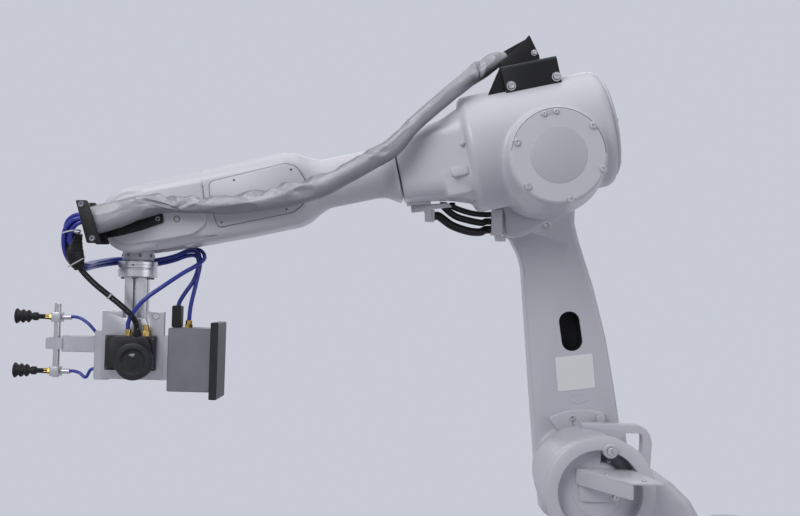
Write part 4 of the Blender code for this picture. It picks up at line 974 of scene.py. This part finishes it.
# Silver sleeve over the air and signal lines
sleeve = {"path": ((0.3370, 0.0130, 1.2775), (0.3485, 0.0163, 1.2746), (0.3600, 0.0195, 1.2710),
                   (0.3988, 0.0340, 1.2414), (0.4250, 0.0600, 1.2160), (0.4530, 0.0850, 1.1880),
                   (0.5105, 0.1000, 1.1330), (0.5525, 0.1080, 1.0850), (0.5930, 0.1080, 1.0590),
                   (0.6374, 0.1040, 1.0330), (0.6784, 0.1000, 1.0110), (0.7233, 0.0980, 0.9967),
                   (0.7749, 0.0955, 0.9833), (0.8576, 0.0935, 0.9700), (0.9319, 0.0935, 0.9674),
                   (1.0050, 0.0960, 0.9650), (1.0561, 0.1060, 0.9480), (1.1130, 0.1155, 0.9290)),
          "radii": (0.0140, 0.0185, 0.0165, 0.0155, 0.0150, 0.0150, 0.0185, 0.0190, 0.0190, 0.0215, 0.0215,
                    0.0195, 0.0175, 0.0160, 0.0150, 0.0200, 0.0262, 0.0268),
          "pleats": ((0.055, 1.5, 0.34, 0.016, 0.02), (0.075, 0.1, 0.30, 0.012, -0.02),
                     (0.095, 2.6, 0.24, 0.012, 0.01), (0.300, 1.0, 0.14, 0.018, 0.03),
                     (0.365, 2.4, 0.26, 0.016, -0.02), (0.395, 0.9, 0.22, 0.016, 0.03),
                     (0.487, 1.9, 0.30, 0.022, 0.02), (0.560, 1.7, 0.42, 0.022, 0.02),
                     (0.585, 0.7, 0.14, 0.020, 0.03), (0.622, 1.7, 0.36, 0.022, -0.02),
                     (0.702, 1.5, 0.26, 0.020, 0.03), (0.765, 1.5, 0.40, 0.016, 0.01),
                     (0.790, 0.4, 0.16, 0.014, -0.03), (0.842, 1.5, 0.50, 0.011, 0.02),
                     (0.858, 0.2, 0.30, 0.010, 0.05)), "facets": 30, "flat": 0.34, "weave": 900}


def makeSleeve():
    chance = random.Random(11)
    facets = []
    for k in range(sleeve["facets"]):
        turn = chance.uniform(0, 2 * math.pi)
        facing = side * math.cos(turn) + up * math.sin(turn)
        facets.append(((k + chance.random()) / sleeve["facets"], facing, chance.uniform(0.80, 0.93),
                       chance.uniform(-2.2, 2.2), chance.uniform(0.025, 0.060)))

    def crumple(out, w, length):
        reach = 1.0
        for place, facing, height, slope, span in facets:  # long flat faces, with a crease where two meet
            off = w - place
            toward = out.dot(facing)
            if abs(off) < span and toward > 0.3:
                reach = min(reach, (height + slope * off + (off / span) ** 4 * 0.20) / toward)
        for place, turn, deep, span, skew in sleeve["pleats"]:  # folds slanting over one side
            toward = out.y * math.cos(turn) + out.z * math.sin(turn)
            if toward > 0.1:
                across = out.z * math.cos(turn) - out.y * math.sin(turn)
                off = (w - place - skew * across) / (span * (0.3 + toward))
                if abs(off) < 2.2:
                    fold = 0.5 * max(0.0, 1 - abs(off - 1.1) * 0.95)
                    fold += 0.3 * max(0.0, 1 - abs(off + 1.1) * 0.95)
                    reach += deep * (toward - 0.1) ** 1.5 * (fold - max(0.0, 1 - abs(off)))
        at = Vector((w * length * 20, out.y * 1.2, out.z * 1.2))
        reach -= 0.05 * max(0.0, 0.30 - abs(noise.noise(at)))
        flat = min(1.0, max(0.0, (w - 0.83) / 0.06))
        return max(0.66, reach) * (1.0 - sleeve["flat"] * flat * out.y * out.y)

    bm = swept(sleeve["path"], sleeve["radii"], 620, 72, shape=crumple, weave=sleeve["weave"])
    piece("hoseSleeve", bm, "fabric", None, ("hose_sleeve",), 0,
          ("housing", "forearm", (0.37, 0.02, 1.26), (0.56, 0.108, 1.08)))


makeSleeve()
print("sleeve done")

# Cables under the housing, from its clip to the head of the lower arm
harness = {"low": (((0.4658, -0.0585, 0.9700), (0.4570, -0.0585, 0.9696), (0.4300, -0.0640, 0.9520),
                    (0.3960, -0.0860, 0.9430), (0.3700, -0.1120, 0.9430), (0.3570, -0.1278, 0.9490),
                    (0.3460, -0.1280, 0.9500)), 0.0085, (-ahead, -ahead)),
           "mid": (((0.4480, -0.0600, 0.9986), (0.4478, -0.0602, 0.9900), (0.4240, -0.0700, 0.9720),
                    (0.3920, -0.0940, 0.9650), (0.3660, -0.1180, 0.9630), (0.3560, -0.1279, 0.9666),
                    (0.3460, -0.1280, 0.9670)), 0.0070, (-up, -ahead)),
           "top": (((0.4300, -0.0640, 0.9986), (0.4296, -0.0644, 0.9910), (0.4100, -0.0820, 0.9850),
                    (0.3840, -0.1060, 0.9810), (0.3580, -0.1279, 0.9812), (0.3460, -0.1280, 0.9820)),
                   0.0060, (-up, -ahead))}


def makeHarness():
    for name, (points, radius, ends) in harness.items():
        bm = swept(points, radius, 70, 20, ends=ends)
        piece("harness" + name.capitalize(), bm, "cable", None, ("harness_" + name,), 0,
              ("housing", "lower_arm", Vector(points[0]), Vector(points[-1])))


makeHarness()
print("harness done")

# Wrist, turns on axis 5
wrist = {"radius": 0.052, "half": 0.0375, "neck": 0.0305, "foot": 0.862}


def makeWrist():
    r, half, neck, foot = wrist["radius"], wrist["half"], wrist["neck"], wrist["foot"]
    drum = turned([(0, -half), (r - 0.005, -half), (r, 0.005 - half), (r, half - 0.005), (r - 0.005, half),
                   (0, half)], tilt, side, 96)
    stem = turned([(0, 0), (neck, 0), (neck, 0.018), (neck - 0.003, 0.026), (neck - 0.003, 0.070),
                   (0, 0.070)], Vector((tilt.x, 0, foot)), up, 96)
    bm = cast([drum, stem], (), (), 0.0016, 3)
    pins = [rod(tilt + side * i * 0.02, tilt + side * i * 0.050, 0.020, 64) for i in (1, -1)]
    bm = carved(bm, pins, True)
    bm = carved(bm, [rod((tilt.x, 0, 0.840), (tilt.x, 0, foot + 0.012), 0.0184, 64)])
    piece("tiltHousing", bm, "paint", "wrist", ("tilt_housing",), 40)
    ring = around(Vector((tilt.x, 0, foot + 0.010)), ahead, side, neck - 0.0004, 20, 8)
    piece("neckScrews", gathered(*[screw(at, out, 0.0030, 0.0016) for at, out in ring]), "dark", "wrist")
    finished("tube_band", "rubber")


makeWrist()

# Tool, turns on axis 6
tool = {"flangeTop": 0.860, "flange": 0.0378, "post": 0.020, "postFoot": 0.6400}


def makeFlange():
    r, x = tool["flange"], tilt.x
    flange = turned([(0, 0.012), (0.018, 0.012), (0.018, 0), (r - 0.0006, 0), (r, -0.0006), (r, -0.0058),
                     (r - 0.0008, -0.0062), (r - 0.0008, -0.0068), (r, -0.0072), (r, -0.0120),
                     (r - 0.0025, -0.0132), (r - 0.0025, -0.0150), (0, -0.0150)],
                    Vector((x, 0, tool["flangeTop"])), up, 96)
    piece("toolFlange", flange, "aluminium", "tool", ("tool_flange",), 30)
    adapter = turned([(0, 0), (r - 0.0005, 0), (r, -0.0005), (r, -0.0140), (r - 0.0015, -0.0155),
                      (0, -0.0155)], Vector((x, 0, 0.8447)), up, 96)
    piece("toolAdapter", adapter, "aluminium", "tool", ("tool_adapter",), 30)
    below = around(Vector((x, 0, 0.8293)), ahead, side, 0.0295, 30, 6)
    beside = around(Vector((x, 0, 0.8526)), ahead, side, r - 0.0003, 30, 6)
    bolts = [screw(at, -up, 0.0035, 0.0040) for at, _ in below]
    bolts += [screw(at, out, 0.0022, 0.0012) for at, out in beside]
    piece("adapterBolts", gathered(*bolts), "dark", "tool")


def makePost():
    h, x = tool["post"], tilt.x
    t, w, n = 0.0035, 0.0042, 0.0052  # slot half opening, slot depth, cavity half width
    quarter = [(h, t), (h - 0.0018, t), (h - 0.0018, n), (h - 0.0050, n), (h - w - 0.0040, 0.0022)]
    points = []
    for c, s in ((1, 0), (0, 1), (-1, 0), (0, -1)):
        points += [(px * c + py * s, px * s - py * c) for px, py in quarter]
        points += [(px * c - py * s, px * s + py * c) for px, py in reversed(quarter)]
        points.append((h * (c - s), h * (s + c), 0.0015))
    bm = slab(points, tool["postFoot"], 0.8289, Vector((x, 0, 0)), ahead, side, up)
    piece("toolPost", bm, "aluminium", "tool", ("tool_post",), 30)


def makeToolPlates():
    plate = ((0.9870, 0.6312, 0.001), (0.9870, 0.7634, 0.001), (1.0240, 0.7634, 0.001),
             (1.0240, 0.7500, 0.001), (1.0680, 0.7500, 0.001), (1.0680, 0.7634, 0.001),
             (1.1076, 0.7634, 0.001), (1.1076, 0.6312, 0.001))
    bm = slab(plate, 0.0203, 0.0283, edge=0.0006, steps=2)
    holes = [rod((1.0040, 0.0262, 0.7545), (1.0040, 0.040, 0.7545), 0.0068, 48)]
    piece("toolPlate", carved(bm, holes), "plate", "tool", ("tool_plate",))
    plug = turned([(0, 0.0262), (0.0064, 0.0262), (0.0064, 0.0286), (0.0058, 0.0292), (0, 0.0292)],
                  Vector((1.0040, 0, 0.7545)), side, 48)
    piece("platePlug", plug, "zinc", "tool")
    for node, look in (("tool_block", "plate"), ("side_bar", "plate"), ("gripper_box", "anodised"),
                       ("gripper_plate", "charcoal"), ("tool_connector", "rubber"), ("cup_bar", "plate")):
        finished(node, look)
    rodShape = rod((1.2035, 0, 0.6296), (1.2035, 0, 0.7745), 0.0066, 48, 0.0010)
    piece("cupRod", rodShape, "steel", "tool", ("cup_rod",))


def makeDevice():
    body = brick((0.9996, 0.0286, 0.6500), (1.0961, 0.0480, 0.7166), 0.004, 0.0015, *level)
    raised = slab(((1.0050, 0.6550, 0.003), (1.0890, 0.6550, 0.003), (1.0890, 0.7020, 0.010),
                   (1.0800, 0.7150, 0.006), (1.0140, 0.7150, 0.006), (1.0050, 0.7020, 0.010)), 0.0470,
                  0.0600, edge=0.0012)
    ring = turned([(0, -0.004), (0.0360, -0.004), (0.0360, 0.0115), (0.0345, 0.0140), (0.0325, 0.0150),
                   (0.0250, 0.0150), (0.0235, 0.0140), (0.0215, 0.0115), (0.0200, 0.0100), (0.0120, 0.0098),
                   (0, 0.0090)], Vector((1.0350, 0.0590, 0.6690)), side, 96)
    piece("cameraDevice", carved(body, [raised, ring], True), "charcoal", "tool", ("camera_device",), 30)
    glass = turned([(0, 0), (0.0150, 0), (0.0150, 0.0004), (0.0110, 0.0018), (0.0060, 0.0028), (0, 0.0032)],
                   Vector((1.0350, 0.0684, 0.6690)), side, 64)
    piece("deviceLens", glass, "glass", "tool")
    corners = ((1.0040, 0.7120), (1.0925, 0.7120), (1.0925, 0.6545), (1.0032, 0.6545))
    screws = [screw((x, 0.0478, z), side, 0.0028, 0.0020) for x, z in corners]
    piece("deviceScrews", gathered(*screws), "dark", "tool")


def fitting(at, axis, small=0.0052, big=0.0068, deep=0.0170):
    body = turned([(0, 0), (big, 0), (big, deep * 0.45), (small, deep * 0.55), (small, deep * 0.85),
                   (small - 0.0008, deep), (0, deep)], Vector(at), axis, 6)
    collar = turned([(0, deep * 0.5), (small + 0.0009, deep * 0.5), (small + 0.0009, deep * 0.95),
                     (small, deep), (0, deep)], Vector(at), axis, 32)
    return carved(body, [collar], True)


def makeCups():
    for name, z, falls in (("upper", 0.7475, (-0.018, -0.0275)), ("lower", 0.6415, (0.004, 0.008))):
        cup = turned([(0, 0.0010), (0.0048, 0.0010), (0.0048, 0.028), (0.0080, 0.0305), (0.0080, 0.0385),
                      (0.0055, 0.0420), (0.0105, 0.0455), (0.0125, 0.0480), (0.0112, 0.0505),
                      (0.0080, 0.0530), (0.0118, 0.0565), (0.0135, 0.0590), (0.0120, 0.0615),
                      (0.0090, 0.0640), (0.0128, 0.0680), (0.0150, 0.0708), (0.0146, 0.0718),
                      (0.0120, 0.0700), (0.0060, 0.0660), (0, 0.0655)], Vector((1.2120, 0, z)), ahead, 64)
        piece("cup" + name.capitalize(), cup, "rubber", "tool", ("cup_" + name,), 0)
        clamp = brick((1.1943, -0.0130, z - 0.0095), (1.2126, 0.0130, z + 0.0095), 0.003, 0.0008, *level)
        clamp = carved(clamp, [rod((1.2035, 0, z - 0.03), (1.2035, 0, z + 0.03), 0.0067, 48)])
        stem = rod((1.1760, 0, z), (1.1950, 0, z), 0.0050, 32, 0.0006)
        piece("cupClamp" + name.capitalize(), carved(clamp, [stem], True), "plate", "tool")
        neck = turned([(0, 0), (0.0064, 0), (0.0064, 0.006), (0.0052, 0.007), (0.0052, 0.014), (0, 0.014)],
                      Vector((1.2124, 0, z)), ahead, 6)
        piece("cupNeck" + name.capitalize(), neck, "brass", "tool")
        line = swept(((1.1765, 0, z), (1.1700, 0.0005, z + 0.001), (1.1560, 0.004, z - 0.002),
                      (1.1420, 0.008, z - 0.010), (1.1330, 0.010, z + falls[0]),
                      (1.1242, 0.010, z + falls[1])), 0.0032, 40, 16, ends=(-ahead, None))
        piece("cupLine" + name.capitalize(), line, "blue", "tool")
    fittings = [fitting((1.0530, 0.0430, 0.7160), up, 0.0052, 0.0064, 0.0130),
                fitting((1.0190, 0.0430, 0.7160), up, 0.0050, 0.0064, 0.0220),
                fitting((0.9460, -0.0020, 0.7326), up, 0.0055, 0.0085, 0.0150)]
    piece("brassFittings", gathered(*fittings), "brass", "tool")
    gland = turned([(0, 0), (0.0075, 0), (0.0075, 0.006), (0.0062, 0.007), (0.0062, 0.013), (0, 0.013)],
                   Vector((1.0360, 0.0430, 0.7160)), up, 12)
    piece("cableGland", gland, "cable", "tool")


makeFlange()
makePost()
makeToolPlates()
makeDevice()
makeCups()
print("tool done")

# Blue air lines, the taped bunch by the end bar and the black cable from it to the camera
tubes = {"radius": 0.0042, "bend": ("forearm", "wrist", (1.1080, 0.1155, 0.9310), (1.1460, 0.0860, 0.8520)),
         "swing": ("wrist", "tool", (0.95, -0.03, 0.860), (0.96, 0.0, 0.790)),
         "main": ((1.1080, 0.1155, 0.9310), (1.1350, 0.1180, 0.9320), (1.1540, 0.1130, 0.9150),
                  (1.1590, 0.1050, 0.8900), (1.1560, 0.0960, 0.8680), (1.1460, 0.0860, 0.8520),
                  (1.1360, 0.0600, 0.8470), (1.1320, 0.0100, 0.8530), (1.1180, -0.0420, 0.8600),
                  (1.1000, -0.0585, 0.8632), (1.0781, -0.0590, 0.8635)),
         "strands": (((1.1080, 0.1155, 0.9310), (1.1330, 0.1140, 0.9420), (1.1560, 0.1080, 0.9290),
                      (1.1620, 0.1000, 0.8980), (1.1560, 0.0940, 0.8680), (1.1440, 0.0900, 0.8520)),
                     ((1.1080, 0.1155, 0.9310), (1.1320, 0.1220, 0.9250), (1.1460, 0.1160, 0.9080),
                      (1.1480, 0.1080, 0.8840), (1.1430, 0.0980, 0.8640)),
                     ((1.1080, 0.1155, 0.9310), (1.1280, 0.1060, 0.9350), (1.1500, 0.0980, 0.9220),
                      (1.1560, 0.0920, 0.8900), (1.1500, 0.0880, 0.8620))),
         "tape": ((1.1390, 0.1000, 0.9080), (1.1440, 0.0980, 0.8920), (1.1460, 0.0950, 0.8740),
                  (1.1430, 0.0910, 0.8580), (1.1370, 0.0860, 0.8430)),
         "cable": {"Upper": ((1.1440, 0.0960, 0.8640), (1.1330, 0.0880, 0.8400), (1.1120, 0.0780, 0.8160),
                             (1.0850, 0.0660, 0.7920)),
                   "Lower": ((1.0850, 0.0660, 0.7920), (1.0650, 0.0590, 0.7750), (1.0480, 0.0530, 0.7590),
                             (1.0390, 0.0470, 0.7440), (1.0360, 0.0430, 0.7280))},
         "gripper": ((1.0629, -0.0520, 0.8635), (1.0300, -0.0530, 0.8650), (0.9900, -0.0540, 0.8740),
                     (0.9620, -0.0510, 0.8850), (0.9400, -0.0360, 0.8820), (0.9300, -0.0140, 0.8600),
                     (0.9350, -0.0050, 0.8200), (0.9430, -0.0020, 0.7780), (0.9460, -0.0020, 0.7440)),
         "connector": ((1.0629, -0.0590, 0.8560), (1.0300, -0.0600, 0.8570), (0.9950, -0.0600, 0.8650),
                       (0.9640, -0.0560, 0.8760), (0.9420, -0.0400, 0.8740), (0.9340, -0.0180, 0.8540),
                       (0.9400, -0.0060, 0.8260), (0.9560, -0.0020, 0.8000), (0.9650, -0.0020, 0.7840),
                       (0.9680, -0.0020, 0.7735)),
         "device": ((1.0629, -0.0660, 0.8635), (1.0300, -0.0650, 0.8650), (0.9900, -0.0640, 0.8760),
                    (0.9620, -0.0600, 0.8880), (0.9360, -0.0440, 0.8870), (0.9220, -0.0180, 0.8720),
                    (0.9320, 0.0080, 0.8560), (0.9560, 0.0240, 0.8390), (0.9880, 0.0400, 0.8140),
                    (1.0200, 0.0500, 0.7880), (1.0420, 0.0500, 0.7620), (1.0520, 0.0470, 0.7420),
                    (1.0530, 0.0435, 0.7230))}


def makeTubes():
    r = tubes["radius"]
    for k, name in enumerate("abc"):
        bm = swept(tubes["main"], r, 130, 16, (90 + 120 * k, 1.24 * r), (None, -ahead))
        piece("airTube" + name.upper(), bm, "blue", None, ("air_tube_" + name,), 0, tubes["bend"])
    for name, stands in (("gripper", ("air_tube_d",)), ("device", ("air_tube_e",)), ("connector", ())):
        bm = swept(tubes[name], r, 120, 16, ends=(-ahead, None))
        piece(name + "Tube", bm, "blue", None, stands, 0, tubes["swing"])


def makeBunch():
    strands = [swept(path, tubes["radius"], 60, 16) for path in tubes["strands"]]
    piece("bunchTubes", gathered(*strands), "blue", None, (), 0, tubes["bend"])

    def wrapped(out, w, length):  # tape wound in overlapping turns
        turns = (w * 9 + math.atan2(out.z, out.y) / (2 * math.pi)) % 1.0
        return 1.0 + 0.07 * turns + 0.16 * noise.noise(out * 1.4)

    piece("bunchTape",
          swept(tubes["tape"], (0.0095, 0.0140, 0.0165, 0.0150, 0.0095), 150, 48, shape=wrapped), "cable",
          between=tubes["bend"])
    ties = [hoop(0.0164, 0.0176, -0.0012, 0.0012, Vector(at), Vector(axis).normalized(), 48)
            for at, axis in (((1.1480, 0.1080, 0.9085), (0.25, -0.1, 1)),
                             ((1.1420, 0.0900, 0.8540), (0.6, 0.2, 1)))]
    piece("bunchTies", gathered(*ties), "tie", between=tubes["bend"])
    bend = Vector((-0.0230, -0.0100, -0.0200)).normalized()
    apart = Vector((0.0020, 0, -0.0020))
    spans = {"Upper": tubes["bend"],
             "Lower": ("wrist", "tool", (1.079, 0.064, 0.787), (1.046, 0.052, 0.756))}
    for name, span in spans.items():
        pair = [swept([Vector(at) + apart * i for at in tubes["cable"][name]], 0.0027, 60, 14,
                      ends=(None, bend) if name == "Upper" else (bend, -up)) for i in (1, -1)]
        piece("cameraCable" + name, gathered(*pair), "cable", None, (), 0, span)
    tie = hoop(0.0058, 0.0068, -0.0016, 0.0016, Vector((1.0850, 0.0660, 0.7920)), bend, 32)
    piece("cableTie", tie, "tie", "wrist")


makeBunch()
makeTubes()
print("tubes done")


# Floor, light and background
studio = {"floor": (0.62, 0.63, 0.66), "backdrop": (0.575, 0.595, 0.665), "sky": (0.80, 0.82, 0.92),
          "ambient": 0.27, "top": 24, "key": 36, "fill": 9}


def makeStudio():
    bm = bmesh.new()
    bmesh.ops.create_circle(bm, cap_ends=True, radius=1.45, segments=128)
    bmesh.ops.translate(bm, verts=bm.verts, vec=(0.35, 0, -0.0006))
    mesh = bpy.data.meshes.new("floor")
    bm.to_mesh(mesh)
    bm.free()
    floor = bpy.data.objects.new("floor", mesh)
    scene.collection.objects.link(floor)
    g = Graph("floorFinish", studio["floor"], 0.75)
    g.put("Base Color",
          g.blend(g.grain(6, 4).above(0.5, 0.3), shade(studio["floor"], 0.97), studio["floor"]))
    mesh.materials.append(g.material)
    floor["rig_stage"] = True
    world = bpy.data.worlds.new("world")
    scene.world = world
    world.use_nodes = True
    tree = world.node_tree
    tree.nodes.clear()
    out = tree.nodes.new("ShaderNodeOutputWorld")
    mix = tree.nodes.new("ShaderNodeMixShader")
    seen = tree.nodes.new("ShaderNodeBackground")
    lit = tree.nodes.new("ShaderNodeBackground")
    path = tree.nodes.new("ShaderNodeLightPath")
    share = path.outputs["Is Camera Ray"]
    for kind in ("Is Glossy Ray", "Is Transmission Ray"):
        either = tree.nodes.new("ShaderNodeMath")
        either.operation = "MAXIMUM"
        tree.links.new(share, either.inputs[0])
        tree.links.new(path.outputs[kind], either.inputs[1])
        share = either.outputs[0]
    seen.inputs[0].default_value = (*studio["backdrop"], 1)
    lit.inputs[0].default_value = (*studio["sky"], 1)
    lit.inputs[1].default_value = studio["ambient"]
    tree.links.new(share, mix.inputs[0])
    tree.links.new(lit.outputs[0], mix.inputs[1])
    tree.links.new(seen.outputs[0], mix.inputs[2])
    tree.links.new(mix.outputs[0], out.inputs[0])
    for name, at, target, size, power in (("top", (0.5, 0.1, 3.0), (0.45, 0, 0.8), 2.6, studio["top"]),
                                          ("key", (1.9, 1.9, 2.3), (0.5, 0, 0.8), 1.4, studio["key"]),
                                          ("fill", (-1.6, 1.4, 1.2), (0.4, 0, 0.7), 1.8, studio["fill"]),
                                          ("back", (0.4, -2.4, 1.8), (0.4, 0, 0.8), 1.8, studio["fill"])):
        lamp = bpy.data.lights.new(name, "AREA")
        lamp.size = size
        lamp.energy = power
        obj = bpy.data.objects.new(name, lamp)
        scene.collection.objects.link(obj)
        obj.location = at
        obj.rotation_euler = (Vector(target) - Vector(at)).to_track_quat("-Z", "Y").to_euler()


makeStudio()
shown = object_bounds()
for name, low, high in (("cad", cadLow, cadHigh), ("scene", *shown)):
    print(name, [round(v * 1000, 1) for v in (*low, *high)])
